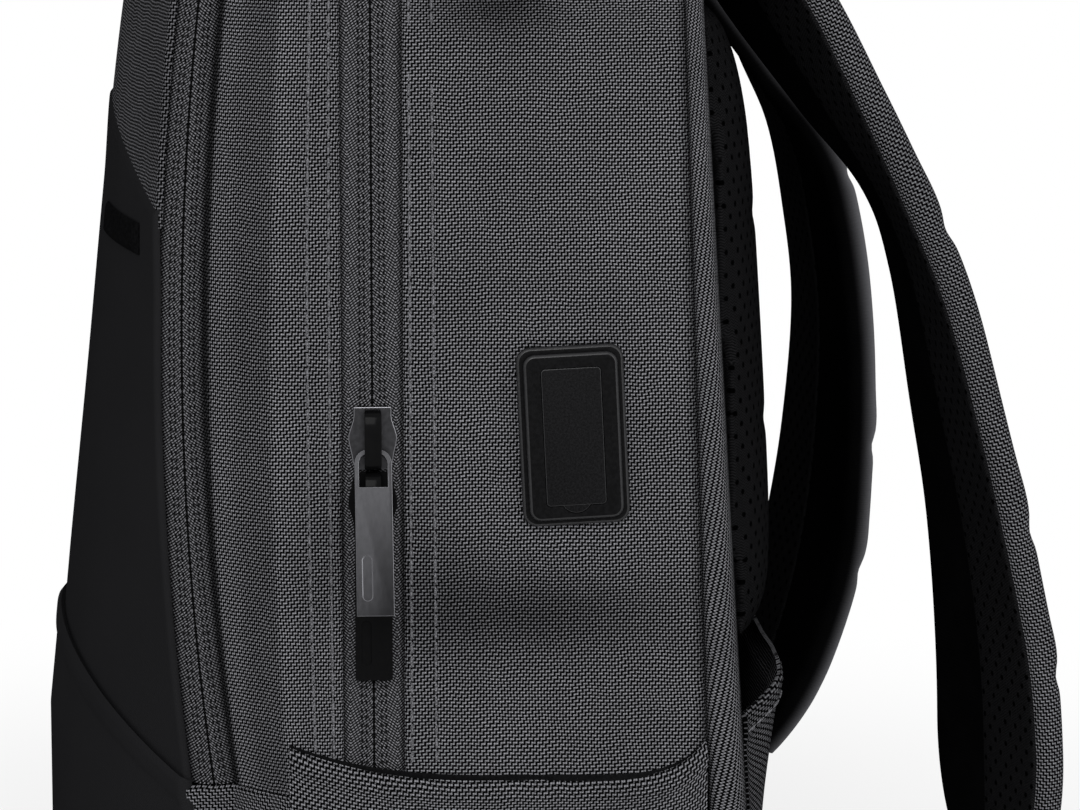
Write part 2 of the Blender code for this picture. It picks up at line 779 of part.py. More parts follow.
sheet("trolley_band", WEAVE, (20, 5), trolley_band, BAND_T, outward=True)


# Pockets inside: a padded laptop sleeve on the back and a power bank pocket beside the USB port
def laptop_sleeve(u, v):
    across = sin((u - 0.5) * pi)
    up = v ** 1.5
    z = SLEEVE_LOW_Z + (SLEEVE_TOP_Z - SLEEVE_LOW_Z) * up
    lift = SLEEVE_DEPTH * smooth((1.0 - abs(across)) / 0.09) * smooth(up / 0.05)
    return Vector((SLEEVE_HALF_WIDTH * across, back_y(z) - CLEAR - lift, z))


sheet("laptop_sleeve", LINING, (14, 8), laptop_sleeve, SLEEVE_T, inside=Vector((0.0, 0.3, 0.2)),
      outward=True)


def bank_pocket(u, v):
    across = sin((u - 0.5) * pi)
    up = v ** 1.5
    z = BANK_POCKET_LOW_Z + (BANK_POCKET_TOP_Z - BANK_POCKET_LOW_Z) * up
    lift = BANK_POCKET_DEPTH * smooth((1.0 - abs(across)) / 0.16) * smooth(up / 0.16)
    y = BANK_POCKET_Y + BANK_POCKET_WIDTH / 2 * across
    return Vector((HALF_WIDTH - WALL - CLEAR - lift, y, z))


sheet("power_bank_pocket", LINING, (14, 8), bank_pocket, BANK_POCKET_T, inside=Vector((0.4, 0.04, 0.13)),
      outward=True)

# USB port, in its own frame: X out of the side, Y across the plate, Z up it
usb_place = Matrix.Translation((HALF_WIDTH, USB_Y, USB_Z))
USB = add_axis("usb_port", usb_place @ Matrix.Rotation(USB_TILT, 4, "X"))
USB_FACE = CLEAR + USB_FLANGE + USB_STEP
FLAP_FLOOR = USB_FACE - FLAP_T - CLEAR
SOCKET_FRONT = FLAP_FLOOR - 0.001
SOCKET_BACK = SOCKET_FRONT - SOCKET_LENGTH
HOUSING_FRONT = -COLLAR_DEPTH - CLEAR


def usb_prism(name, width, height, corner, low, high, look=RUBBER, cutter=False, shift=(0.0, 0.0)):
    outline = [(y + shift[0], z + shift[1]) for y, z in rounded_rect(width, height, corner)]
    return prism(name, look, outline, low, high, parent=USB, cutter=cutter)


def socket_hole(name, low, high):
    width = SOCKET_WIDTH + 2 * CLEAR
    return usb_prism(name, width, SOCKET_HEIGHT + 2 * CLEAR, 0.001, low, high, cutter=True)


bezel = usb_prism("usb_bezel", USB_WIDTH, USB_HEIGHT, USB_CORNER, CLEAR, CLEAR + USB_FLANGE)
bevel(bezel, 0.0009)
boolean(bezel, usb_prism("usb_step", USB_WIDTH - 2 * USB_STEP_INSET, USB_HEIGHT - 2 * USB_STEP_INSET,
                         USB_CORNER * 0.7, CLEAR + USB_FLANGE / 2, USB_FACE, cutter=True), "UNION")
boolean(bezel, usb_prism("usb_collar", COLLAR_WIDTH, COLLAR_HEIGHT, 0.002, -COLLAR_DEPTH,
                         CLEAR + USB_FLANGE / 2, cutter=True), "UNION")
boolean(bezel, usb_prism("usb_window", FLAP_WIDTH + 2 * CLEAR, FLAP_HEIGHT + 2 * CLEAR, 0.0014, FLAP_FLOOR,
                         USB_FACE + 0.002, cutter=True), "DIFFERENCE")
LIP_Z = -(FLAP_HEIGHT + LIP_REACH) / 2
boolean(bezel, usb_prism("usb_lip_notch", LIP_WIDTH + 2 * CLEAR, LIP_REACH + 4 * CLEAR, 0.0008,
                         USB_FACE - 0.0012 - CLEAR, USB_FACE + 0.002, cutter=True, shift=(0.0, LIP_Z)),
        "DIFFERENCE")
boolean(bezel, socket_hole("usb_throat", -COLLAR_DEPTH - 0.002, FLAP_FLOOR + 0.001), "DIFFERENCE")

boolean(right_side, usb_prism("usb_side_hole", COLLAR_WIDTH + 2 * CLEAR, COLLAR_HEIGHT + 2 * CLEAR, 0.002,
                              -0.006, 0.006, cutter=True), "DIFFERENCE")

clamp = usb_prism("usb_clamp_plate", COLLAR_WIDTH + 2 * CLAMP_LIP, COLLAR_HEIGHT + 2 * CLAMP_LIP, 0.003,
                  -WALL - CLEAR - CLAMP_T, -WALL - CLEAR, PLASTIC)
boolean(clamp, usb_prism("usb_clamp_hole", COLLAR_WIDTH + 2 * CLEAR, COLLAR_HEIGHT + 2 * CLEAR, 0.002,
                         -0.010, 0.010, cutter=True), "DIFFERENCE")

housing = usb_prism("usb_housing", COLLAR_WIDTH, COLLAR_HEIGHT, 0.003, HOUSING_FRONT - HOUSING_DEPTH,
                    HOUSING_FRONT, PLASTIC)
bevel(housing, 0.0010)
bm = bmesh.new()
bmesh.ops.create_cone(bm, cap_ends=True, segments=16, radius1=GLAND_RADIUS, radius2=GLAND_RADIUS * 1.3,
                      depth=0.010)
gland_mesh = bpy.data.meshes.new("usb_gland")
bm.to_mesh(gland_mesh)
bm.free()
gland = add_object("usb_gland", gland_mesh, PLASTIC, USB, cutter=True)
gland.location = (HOUSING_FRONT - HOUSING_DEPTH / 2, 0.0, -COLLAR_HEIGHT / 2)
boolean(housing, gland, "UNION")
boolean(housing, socket_hole("usb_socket_seat", SOCKET_BACK - CLEAR, HOUSING_FRONT + 0.002), "DIFFERENCE")

shell = usb_prism("usb_socket_shell", SOCKET_WIDTH, SOCKET_HEIGHT, 0.0008, SOCKET_BACK, SOCKET_FRONT, STEEL)
SOCKET_FLOOR = SOCKET_BACK + 2 * SOCKET_WALL
boolean(shell, usb_prism("usb_socket_mouth", SOCKET_WIDTH - 2 * SOCKET_WALL,
                         SOCKET_HEIGHT - 2 * SOCKET_WALL, 0.0004, SOCKET_FLOOR, SOCKET_FRONT + 0.002,
                         cutter=True), "DIFFERENCE")
TONGUE_LOW = SOCKET_FLOOR + CLEAR
usb_prism("usb_socket_tongue", TONGUE_T, TONGUE_HEIGHT, 0.0003, TONGUE_LOW, TONGUE_LOW + TONGUE_LENGTH,
          PLASTIC, shift=(SOCKET_WIDTH / 2 - SOCKET_WALL - TONGUE_T / 2 - 2 * CLEAR, 0.0))

flap_outline = [(y, z - FLAP_HEIGHT / 2) for y, z in rounded_rect(FLAP_WIDTH, FLAP_HEIGHT, 0.0011)]
flap = prism("usb_flap", RUBBER, flap_outline, -FLAP_T, 0.0, parent=USB,
             place=Matrix.Translation((USB_FACE, 0.0, FLAP_HEIGHT / 2)))
lip_outline = [(y, z + LIP_Z - FLAP_HEIGHT / 2)
               for y, z in rounded_rect(LIP_WIDTH, LIP_REACH + 2 * CLEAR, 0.0007)]
lip = prism("usb_flap_lip", RUBBER, lip_outline, -0.0012, -0.0001, parent=flap, cutter=True)
boolean(flap, lip, "UNION")

# Zip sliders: two shield-shaped plates on a post, with a strap bridge that holds the pull
BRIDGE_IN = SLIDER_PLATE_T + CLEAR + PULL_T + PULL_BAR / 2 + 0.00055
PULL_AXIS_X = SLIDER_PLATE_T + CLEAR + PULL_T / 2 + PULL_BAR / 2 - 0.00005
PULL_AXIS_Z = -SLIDER_LENGTH * 0.21


def zip_slider(name, width, place, flip):
    """Slider at a place on the zip's face. flip is 1 with its nose up and -1 with its nose down."""
    half = width / 2
    reach = SLIDER_LENGTH / 2
    shield = [(0.77 * half, reach), (half, 0.0), (0.93 * half, -0.82 * reach), (0.73 * half, -reach)]
    shield += [(-y, z) for y, z in reversed(shield)]
    outline = [(y, flip * z) for y, z in shield]
    made = prism(name, GUNMETAL, outline, CLEAR, CLEAR + SLIDER_PLATE_T, place=place)
    inner = -TAPE_T - CLEAR
    back = [(y * 0.9, z) for y, z in outline]
    boolean(made, prism(name + "_inner", GUNMETAL, back, inner - 0.0012, inner, parent=made, cutter=True),
            "UNION")
    post = [(y, flip * (z + reach * 0.45)) for y, z in rounded_rect(SPLIT - 2 * CLEAR, reach * 0.5, 0.0003)]
    boolean(made, prism(name + "_post", GUNMETAL, post, inner - 0.0006, CLEAR + SLIDER_PLATE_T / 2,
                        parent=made, cutter=True), "UNION")
    line = [Vector((0.0010, 0.0, 0.90 * reach)), Vector((0.6 * BRIDGE_IN, 0.0, 0.84 * reach)),
            Vector((BRIDGE_IN, 0.0, 0.66 * reach)), Vector((BRIDGE_IN, 0.0, -0.66 * reach)),
            Vector((0.6 * BRIDGE_IN, 0.0, -0.84 * reach)), Vector((0.0010, 0.0, -0.90 * reach))]

    def bridge(u, v):
        point = line[round(v * 5)].copy()
        point.y = SLIDER_BRIDGE_WIDTH * (u - 0.5)
        return point
    boolean(made, sheet(name + "_bridge", GUNMETAL, (1, 5), bridge, SLIDER_BRIDGE_T,
                        inside=Vector((-0.01, 0, 0)), outward=True, parent=made, cutter=True), "UNION")
    return made


def zip_pull(name, slider, lean, look):
    """Flat pull on the slider's bridge: a window round the bridge and a round-ended recess below."""
    rest = Matrix.Translation((PULL_AXIS_X, 0.0, PULL_AXIS_Z)) @ Matrix.Rotation(-lean, 4, "Y")
    middle = (PULL_BAR - PULL_LENGTH) / 2
    outline = [(y, z + middle) for y, z in rounded_rect(PULL_WIDTH, PULL_LENGTH, 0.0009, 2)]
    made = prism(name, look, outline, -PULL_T / 2, PULL_T / 2, parent=slider, place=rest)
    window = [(y, z - (PULL_BAR + PULL_WINDOW_LENGTH) / 2)
              for y, z in rounded_rect(PULL_WINDOW_WIDTH, PULL_WINDOW_LENGTH, 0.0006, 2)]
    cut = prism(name + "_window", look, window, -PULL_T, PULL_T, parent=made, cutter=True)
    boolean(made, cut, "DIFFERENCE")
    slot = [(y + RECESS_Y, z + RECESS_Z)
            for y, z in rounded_rect(RECESS_WIDTH, RECESS_LENGTH, RECESS_WIDTH * 0.497, 4)]
    cut = prism(name + "_recess", look, slot, PULL_T / 2 - RECESS_DEPTH, PULL_T, parent=made, cutter=True)
    boolean(made, cut, "DIFFERENCE")
    return made


MAIN_FACE_X = HALF_WIDTH - ZIP_FACE
upper = zip_slider("main_slider_upper", SLIDER_WIDTH,
                   Matrix.Translation((MAIN_FACE_X, MAIN_ZIP_Y, UPPER_SLIDER_Z)), 1)
lower = zip_slider("main_slider_lower", SLIDER_WIDTH,
                   Matrix.Translation((MAIN_FACE_X, MAIN_ZIP_Y, LOWER_SLIDER_Z)), -1)
zip_pull("main_pull_upper", upper, UPPER_PULL_LEAN, GUNMETAL)
zip_pull("main_pull_lower", lower, 0.0, PLASTIC)

ARC_CENTRE = Vector((0.0, FRONT_ZIP_Y + FRONT_ZIP_RADIUS, FRONT_ZIP_MID_Z))
pocket_turn = (FRONT_ZIP_MID_Z - POCKET_SLIDER_Z) / FRONT_ZIP_RADIUS
POCKET_FACE = Vector((CLEAR + ZIP_FACE - FRONT_HALF_WIDTH, -FRONT_ZIP_RADIUS, 0.0))
pocket_place = (Matrix.Translation(ARC_CENTRE) @ Matrix.Rotation(pocket_turn, 4, "X")
                @ Matrix.Translation(POCKET_FACE) @ Matrix.Rotation(pi, 4, "Z"))
pocket = zip_slider("pocket_slider", POCKET_SLIDER_WIDTH, pocket_place, 1)
zip_pull("pocket_pull", pocket, 0.0, GUNMETAL)
ride_on(pocket, MAIN_AXIS)

# Haul handle: a webbing loop with narrow round ends that pivot on two sewn patches
PATCH_TOP = TOP_Z + CLEAR + HANDLE_PATCH_T
HANDLE_END = HANDLE_END_WIDTH / 2
HANDLE_AXIS_Z = PATCH_TOP + CLEAR + HANDLE_END
HANDLE_AXIS = add_axis("haul_handle_axis", Matrix.Translation((0.0, HANDLE_Y, HANDLE_AXIS_Z)))
patch = rounded_rect(HANDLE_PATCH_SIZE, HANDLE_PATCH_SIZE, 0.003)
for label, side in (("right", 1), ("left", -1)):
    prism(label + "_handle_patch", WEBBING, patch, 0.0, HANDLE_PATCH_T,
          place=lying_flat(side * HANDLE_HALF_SPAN, HANDLE_Y, TOP_Z + CLEAR))


def handle_stations():
    """Angles along the loop: close together round each end, then even."""
    rise = [HANDLE_END * (1.0 - cos(k * pi / 8)) for k in range(5)]
    half = [atan2(s, sqrt(HANDLE_RISE ** 2 - s * s)) for s in rise]
    start = half[-1]
    half += [start + (pi / 2 - start) * i / 10 for i in range(1, 11)]
    return half + [pi - a for a in reversed(half[:-1])]


STATIONS = handle_stations()


def haul_handle(u, v):
    a = STATIONS[round(u * (len(STATIONS) - 1))]
    s = HANDLE_RISE * sin(a)
    if s < HANDLE_END:
        half = sqrt(max(0.0, HANDLE_END ** 2 - (HANDLE_END - s) ** 2))
    else:
        half = HANDLE_END + (HANDLE_WIDTH / 2 - HANDLE_END) * smooth((s - HANDLE_END) / 0.022)
    return Vector((HANDLE_HALF_SPAN * cos(a), HANDLE_Y + half * (2 * v - 1), HANDLE_AXIS_Z - HANDLE_END + s))


ride_on(sheet("haul_handle", WEBBING, (len(STATIONS) - 1, 4), haul_handle, HANDLE_T,
              inside=Vector((0.0, HANDLE_Y, TOP_Z - 0.1))), HANDLE_AXIS)

# Shoulder straps. Each edge of the mesh face is a curve through points: distance from the middle,
# stand-off behind the back panel at the strap's seam, and drop below that seam. The near strap hangs
# further out than the far one.
MEDIAL = ((0.034, 0.0003, 0.0), (0.038, 0.0035, 0.026), (0.045, 0.0115, 0.058), (0.052, 0.041, 0.099),
          (0.058, 0.063, 0.126), (0.060, 0.072, 0.152), (0.060, 0.079, 0.195), (0.060, 0.085, 0.234),
          (0.061, 0.0885, 0.282), (0.062, 0.0895, 0.335))
LATERAL = ((0.098, 0.0003, 0.0), (0.108, 0.0125, 0.026), (0.118, 0.038, 0.060), (0.122, 0.056, 0.096),
           (0.128, 0.068, 0.124), (0.130, 0.080, 0.152), (0.132, 0.0905, 0.187), (0.133, 0.1030, 0.238),
           (0.134, 0.1110, 0.281), (0.133, 0.1140, 0.333))
FAR_MEDIAL = MEDIAL[:6] + ((0.060, 0.0775, 0.195), (0.061, 0.0780, 0.240), (0.062, 0.0750, 0.275),
                           (0.063, 0.0650, 0.308), (0.064, 0.0505, 0.336))
FAR_LATERAL = LATERAL[:1] + ((0.108, 0.0095, 0.026), (0.118, 0.0300, 0.060), (0.122, 0.0440, 0.096),
                             (0.126, 0.0545, 0.121), (0.128, 0.0605, 0.151), (0.130, 0.0645, 0.187),
                             (0.130, 0.0610, 0.233), (0.128, 0.0540, 0.273), (0.124, 0.0465, 0.306),
                             (0.119, 0.0375, 0.335))
PINCH_DROPS = (0.136, 0.228, 0.275)


def strap_edge(points, side):
    seam = rear_y(STRAP_TOP_Z)
    return [Vector((side * x, seam + off, STRAP_TOP_Z - drop)) for x, off, drop in points]


def strap_frame(inner, outer, t):
    """Middle of the mesh face, its width, and the directions along, across and out of the strap."""
    low = max(0.0, t - 0.01)
    high = min(1.0, t + 0.01)
    ahead = (spline(inner, high) + spline(outer, high)) / 2
    behind = (spline(inner, low) + spline(outer, low)) / 2
    a, b = spline(inner, t), spline(outer, t)
    across = (b - a).normalized()
    along = ahead - behind
    along = (along - across * along.dot(across)).normalized()
    out = across.cross(along).normalized()
    if out.y < 0:
        out = -out
    return (a + b) / 2, (b - a).length, along, across, out


def strap_body(name, look, inner, outer, low, high, pinch):
    """Padded strap: rounded sections along it, drawn in where it is stitched across."""
    rings = []
    for i in range(STRAP_CELLS + 1):
        middle, width, along, across, out = strap_frame(inner, outer, i / STRAP_CELLS)
        half = (high - low) / 2
        for drop in PINCH_DROPS:
            half *= 1.0 - pinch * exp(-((STRAP_TOP_Z - middle.z - drop) / 0.006) ** 2)
        ring = []
        for k in range(STRAP_SECTION):
            a = 2 * pi * k / STRAP_SECTION
            w = abs(cos(a)) ** 0.45 * (1 if cos(a) >= 0 else -1)
            n = abs(sin(a)) ** 0.55 * (1 if sin(a) >= 0 else -1)
            ring.append(middle + across * (width / 2 * w) + out * (low + half + half * n))
        rings.append(ring)
    return loft(name, look, rings)


def ribbon(name, look, points, turn, width_of, lift, cells, span):
    """Webbing along a curve, its width turning from one direction to another and lifted off it."""
    def frame(t):
        ahead = spline(points, min(1.0, t + 0.01))
        behind = spline(points, max(0.0, t - 0.01))
        across = (turn[0] * (1.0 - t) + turn[1] * t).normalized()
        out = across.cross(ahead - behind).normalized()
        return spline(points, t), across, out if out.z > 0 else -out

    def place(u, v):
        here, across, out = frame(span[0] + (span[1] - span[0]) * v)
        return here + across * (width_of(v) * (u - 0.5)) + out * (lift * (1.0 - v))
    here, across, out = frame((span[0] + span[1]) / 2)
    return sheet(name, look, (2, cells), place, WEBBING_T, inside=here - out, outward=True)


def ladder_lock(label, end, along, across, out):
    """Buckle of three bars: its top bar hangs in a tab loop, and the webbing goes round its middle bar."""
    if along.cross(across).dot(out) < 0:
        across = -across
    frame = Matrix.Translation(end) @ Matrix((along, across, out)).transposed().to_4x4()
    lock_out = Vector((LOCK_DROP, 0.0, (LINER_T + PAD_SHELL_T) / 2))
    axis = add_axis(label + "_lock_axis", Matrix.Translation(frame @ lock_out) @ frame.to_3x3().to_4x4())
    length = 3 * LOCK_BAR + 2 * LOCK_SLOT
    turn = Matrix.Rotation(pi / 2, 4, "Y")
    body = [(y, z + length / 2 - LOCK_BAR / 2) for y, z in rounded_rect(LOCK_WIDTH, length, 0.0015, 2)]
    made = prism(label + "_ladder_lock", PLASTIC, body, -LOCK_T / 2, LOCK_T / 2, parent=axis, place=turn)
    for k in range(2):
        middle = LOCK_BAR / 2 + LOCK_SLOT / 2 + k * (LOCK_BAR + LOCK_SLOT)
        slot = [(y, z + middle) for y, z in rounded_rect(LOCK_WIDTH - 2 * LOCK_RAIL, LOCK_SLOT, 0.0006, 2)]
        cut = prism(label + "_lock_slot_" + str(k), PLASTIC, slot, -LOCK_T, LOCK_T, parent=made, cutter=True)
        boolean(made, cut, "DIFFERENCE")
    bend = sqrt(LOCK_T ** 2 + LOCK_BAR ** 2) / 2 + CLEAR
    place = axis.matrix_world.copy()

    def loop(a_start, bar, sign, a_end):
        """Points of a loop round one bar, from behind it to in front of it, in the lock's frame."""
        points = [Vector((a_start, 0.0, -bend))]
        for k in range(9):
            a = k / 8 * pi
            points.append(Vector((bar + sign * bend * sin(a), 0.0, -bend * cos(a))))
        points.append(Vector((a_end, 0.0, bend)))
        return points

    def strip(name, points, axis_of=None):
        def lay(u, v):
            point = points[round(v * (len(points) - 1))].copy()
            point.y = WEBBING_WIDTH * (u - 0.5)
            return place @ point
        inside = place @ ((points[1] + points[-2]) / 2)
        strip_made = sheet(name, WEBBING, (1, len(points) - 1), lay, WEBBING_T, inside=inside, outward=True)
        return ride_on(strip_made, axis_of) if axis_of else strip_made

    strip(label + "_lock_tab", loop(CLEAR - LOCK_DROP, 0.0, 1.0, CLEAR - LOCK_DROP))
    bar = LOCK_BAR + LOCK_SLOT
    foot = length + 0.001
    strip(label + "_webbing_tail", loop(foot, bar, -1.0, foot + TAIL_LENGTH), axis)
    return place @ Vector((foot + 2 * CLEAR, 0.0, -bend - WEBBING_T))


for label, side, inner_points, outer_points in (("right", 1, MEDIAL, LATERAL),
                                                ("left", -1, FAR_MEDIAL, FAR_LATERAL)):
    inner = strap_edge(inner_points, side)
    outer = strap_edge(outer_points, side)
    strap_body(label + "_strap_liner", MESH, inner, outer, 0.0, LINER_T, 0.12)
    strap_body(label + "_strap_pad", WEAVE, inner, outer, LINER_T + LINER_GAP, LINER_T + PAD_SHELL_T, 0.28)
    end, width, along, across, out = strap_frame(inner, outer, 1.0)
    start = ladder_lock(label, end, along, across, out)
    wing_x = side * (HALF_WIDTH - WING_WIDTH / 2 - WING_MARGIN)
    sewn = Vector((wing_x, rear_y(WING_Z) + 2 * CLEAR, WING_Z))
    route = [sewn, sewn.lerp(start, 0.25), sewn.lerp(start, 0.62), start + along * WEBBING_LEAD, start]
    sag = min(start.z, WING_Z) - WEBBING_SAG
    for k, share in ((1, 0.55), (2, 0.95), (3, 0.75)):
        route[k].z += (sag - route[k].z) * share
    turn = (Vector((side, 0.0, 0.0)), across)
    ribbon(label + "_strap_wing", WEAVE, route, turn,
           lambda v: WING_WIDTH + (WEBBING_WIDTH - WING_WIDTH) * v, 0.0, 6, (0.0, 0.26))
    ribbon(label + "_adjust_webbing", WEBBING, route, turn,
           lambda v: WEBBING_WIDTH, WEBBING_T + 2 * CLEAR, 14, (0.10, 1.0))

bpy.context.view_layer.update()
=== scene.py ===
from math import cos, exp, pi, radians, sin, sqrt

import bmesh
import bpy
from mathutils import Matrix, Vector, noise


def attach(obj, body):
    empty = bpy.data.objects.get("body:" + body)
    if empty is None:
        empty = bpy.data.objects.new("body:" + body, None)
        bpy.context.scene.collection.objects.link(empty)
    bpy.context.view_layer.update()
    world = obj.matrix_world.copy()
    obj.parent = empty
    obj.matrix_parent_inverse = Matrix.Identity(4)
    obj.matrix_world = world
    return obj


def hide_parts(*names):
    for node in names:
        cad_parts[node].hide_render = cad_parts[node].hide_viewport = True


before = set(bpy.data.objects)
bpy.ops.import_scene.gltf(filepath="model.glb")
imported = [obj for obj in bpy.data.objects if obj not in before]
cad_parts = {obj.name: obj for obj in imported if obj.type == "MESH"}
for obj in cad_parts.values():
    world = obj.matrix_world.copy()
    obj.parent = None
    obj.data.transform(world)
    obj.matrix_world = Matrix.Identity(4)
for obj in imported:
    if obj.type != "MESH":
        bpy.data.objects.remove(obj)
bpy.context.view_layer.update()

# Camera: a long lens close to square on to the bag's side, a little above it and a touch to its front.
# The frame cuts off the top and the base of the bag, as in a close product shot.
AIM = Vector((0.155, 0.031, 0.217))
AZIMUTH = radians(86.0)
ELEVATION = radians(9.0)
DISTANCE = 1.4
LENS_MM = 153.0
sight = Vector((sin(AZIMUTH) * cos(ELEVATION), -cos(AZIMUTH) * cos(ELEVATION), sin(ELEVATION)))
view = bpy.data.cameras.new("view")
view.lens = LENS_MM
view.sensor_width = 36.0
viewer = bpy.data.objects.new("view", view)
viewer.location = AIM + sight * DISTANCE
viewer.rotation_euler = (-sight).to_track_quat("-Z", "Y").to_euler()
bpy.context.scene.collection.objects.link(viewer)
bpy.context.scene.camera = viewer
bpy.context.scene.view_settings.view_transform = "Standard"

# Studio: a white floor that fades into a white surround, and three wide soft lamps at a plain level.
# The floor shows white to the camera away from the bag, and keeps the bag's shadow close to it.
SURROUND = 0.42
LAMP_AIM = Vector((0.0, 0.0, 0.22))
LAMPS = (("key", (1.90, -0.35, 1.35), 1.3, 27.0), ("fill", (1.45, 1.35, 0.75), 1.2, 10.0),
         ("back", (-1.5, 0.5, 1.5), 1.2, 16.0))
FLOOR_GREY = (0.85, 0.85, 0.85, 1.0)
FLOOR_HALF = 6.0
FLOOR_Z = -0.0004
SHADOW_REACH = (0.25, 0.60)
SHADOW_WHITE = (0.70, 1.0)
for label, place, size, watts in LAMPS:
    lamp = bpy.data.lights.new(label, "AREA")
    lamp.size = size
    lamp.energy = watts
    holder = bpy.data.objects.new(label, lamp)
    holder.location = place
    holder.rotation_euler = (Vector(place) - LAMP_AIM).to_track_quat("Z", "Y").to_euler()
    bpy.context.scene.collection.objects.link(holder)


class Pattern:
    """A value that nodes work out at each point. Arithmetic on it, and its ramp, add the nodes they need."""

    def __init__(self, tree, socket):
        self.tree = tree
        self.socket = socket

    def __add__(self, other):
        return calc("ADD", self, other)

    def __sub__(self, other):
        return calc("SUBTRACT", self, other)

    def __rsub__(self, other):
        return calc("SUBTRACT", other, self)

    def __mul__(self, other):
        return calc("MULTIPLY", self, other)

    def __truediv__(self, other):
        return calc("DIVIDE", self, other)

    def __abs__(self):
        return calc("ABSOLUTE", self)

    def feed(self, socket):
        self.tree.links.new(self.socket, socket)

    def ramp(self, low, high, least=0.0, most=1.0):
        """Smooth step from least to most, as the value goes from low to high."""
        made = self.tree.nodes.new("ShaderNodeMapRange")
        made.interpolation_type = "SMOOTHSTEP"
        self.feed(made.inputs["Value"])
        for label, level in (("From Min", low), ("From Max", high), ("To Min", least), ("To Max", most)):
            made.inputs[label].default_value = level
        return Pattern(self.tree, made.outputs["Result"])


def calc(operation, *values):
    """One node of arithmetic on patterns and plain numbers."""
    tree = next(value.tree for value in values if isinstance(value, Pattern))
    made = tree.nodes.new("ShaderNodeMath")
    made.operation = operation
    for socket, value in zip(made.inputs, values):
        if isinstance(value, Pattern):
            value.feed(socket)
        else:
            socket.default_value = value
    return Pattern(tree, made.outputs[0])


def seen(tree):
    """1 for what the camera sees straight, in a reflection or through glass, and 0 for light on the bag."""
    path = tree.nodes.new("ShaderNodeLightPath")
    camera, glossy, through = [Pattern(tree, path.outputs["Is " + kind + " Ray"])
                               for kind in ("Camera", "Glossy", "Transmission")]
    return calc("MAXIMUM", calc("MAXIMUM", camera, glossy), through)


surround = bpy.data.worlds.new("surround")
surround.use_nodes = True
bpy.context.scene.world = surround
backdrop = surround.node_tree.nodes["Background"]
backdrop.inputs["Color"].default_value = (1.0, 1.0, 1.0, 1.0)
seen(surround.node_tree).ramp(0.0, 1.0, SURROUND, 1.0).feed(backdrop.inputs["Strength"])

white_floor = bpy.data.materials.new("white_floor")
white_floor.use_nodes = True
tree = white_floor.node_tree
shader = tree.nodes["Principled BSDF"]
for label, value in (("Base Color", FLOOR_GREY), ("Roughness", 0.9), ("Specular IOR Level", 0.0)):
    shader.inputs[label].default_value = value
reach = tree.nodes.new("ShaderNodeVectorMath")
reach.operation = "LENGTH"
tree.links.new(tree.nodes.new("ShaderNodeTexCoord").outputs["Object"], reach.inputs[0])
fade = Pattern(tree, reach.outputs["Value"]).ramp(*SHADOW_REACH, *SHADOW_WHITE)
mix = tree.nodes.new("ShaderNodeMixShader")
(fade * seen(tree)).feed(mix.inputs["Fac"])
tree.links.new(shader.outputs["BSDF"], mix.inputs[1])
tree.links.new(tree.nodes.new("ShaderNodeEmission").outputs["Emission"], mix.inputs[2])
tree.links.new(mix.outputs["Shader"], tree.nodes["Material Output"].inputs["Surface"])

bm = bmesh.new()
bmesh.ops.create_grid(bm, x_segments=8, y_segments=8, size=FLOOR_HALF)
bmesh.ops.translate(bm, verts=bm.verts, vec=(0.0, 0.0, FLOOR_Z))
floor_mesh = bpy.data.meshes.new("floor")
bm.to_mesh(floor_mesh)
bm.free()
floor_piece = bpy.data.objects.new("floor", floor_mesh)
floor_mesh.materials.append(white_floor)
bpy.context.scene.collection.objects.link(floor_piece)

# Rear shell: one long band of two-tone ballistic nylon, up one side, over the top and down the other.
# Its front edge is folded under and topstitched beside the main zip, and its rear edge is sewn to the back.
# The near side has the charging port's opening, a gathered fold high up, and slack that shows as soft waves.
HALF_WIDTH = 0.152
TOP_Z = 0.448
SHOULDER_Z = 0.358
CORNER_RUN = 0.090
SHELL_LOW_Z = 0.0953
WALL = 0.0015
CLEAR = 0.0003
MAIN_ZIP_Y = -0.020
MAIN_FOLD = 0.0094
FOLD_ROUND = 0.0017
SEAM_ROUND = 0.0026
SIDE_SHARE = 8 / 36
THREAD_ACROSS = 0.00092
THREAD_UP = 0.00108
REAR_ROWS = (0.0022, 0.0095)
ROW_DEPTH = 0.00035
ROW_WIDTH = 0.0011
USB_PLACE = Matrix.Translation((HALF_WIDTH, 0.0412, 0.2074)) @ Matrix.Rotation(radians(2.7), 4, "X")
TO_PORT = USB_PLACE.inverted()
COLLAR = (0.0246, 0.0466)
PORT_HALF = (0.0165, 0.0280)
BACK_SEAM_Y = 0.0868
BACK_LEAN = 0.035


def back_y(z):
    """Seam plane between the shell and the back panel."""
    return BACK_SEAM_Y - BACK_LEAN * z


def ease(value):
    value = min(max(value, 0.0), 1.0)
    return value * value * (3.0 - 2.0 * value)


def arch(t, half_width, top):
    """Point (x, z) on the rounded top outline, from the right shoulder (0) to the left one (1)."""
    if t < 0.4:
        a = t / 0.4 * pi / 2
        return half_width - CORNER_RUN + CORNER_RUN * cos(a), SHOULDER_Z + (top - SHOULDER_Z) * sin(a)
    if t <= 0.5:
        return (half_width - CORNER_RUN) * (1.0 - (t - 0.4) / 0.1), top
    x, z = arch(1.0 - t, half_width, top)
    return -x, z


def round_the_bag(t, half_width, top, low):
    """Point (x, z) on the way up the right side, over the arch and down the left side."""
    if t < SIDE_SHARE:
        return half_width, low + (SHOULDER_Z - low) * t / SIDE_SHARE
    if t <= 0.5:
        return arch((t - SIDE_SHARE) / (1.0 - 2 * SIDE_SHARE), half_width, top)
    x, z = round_the_bag(1.0 - t, half_width, top, low)
    return -x, z


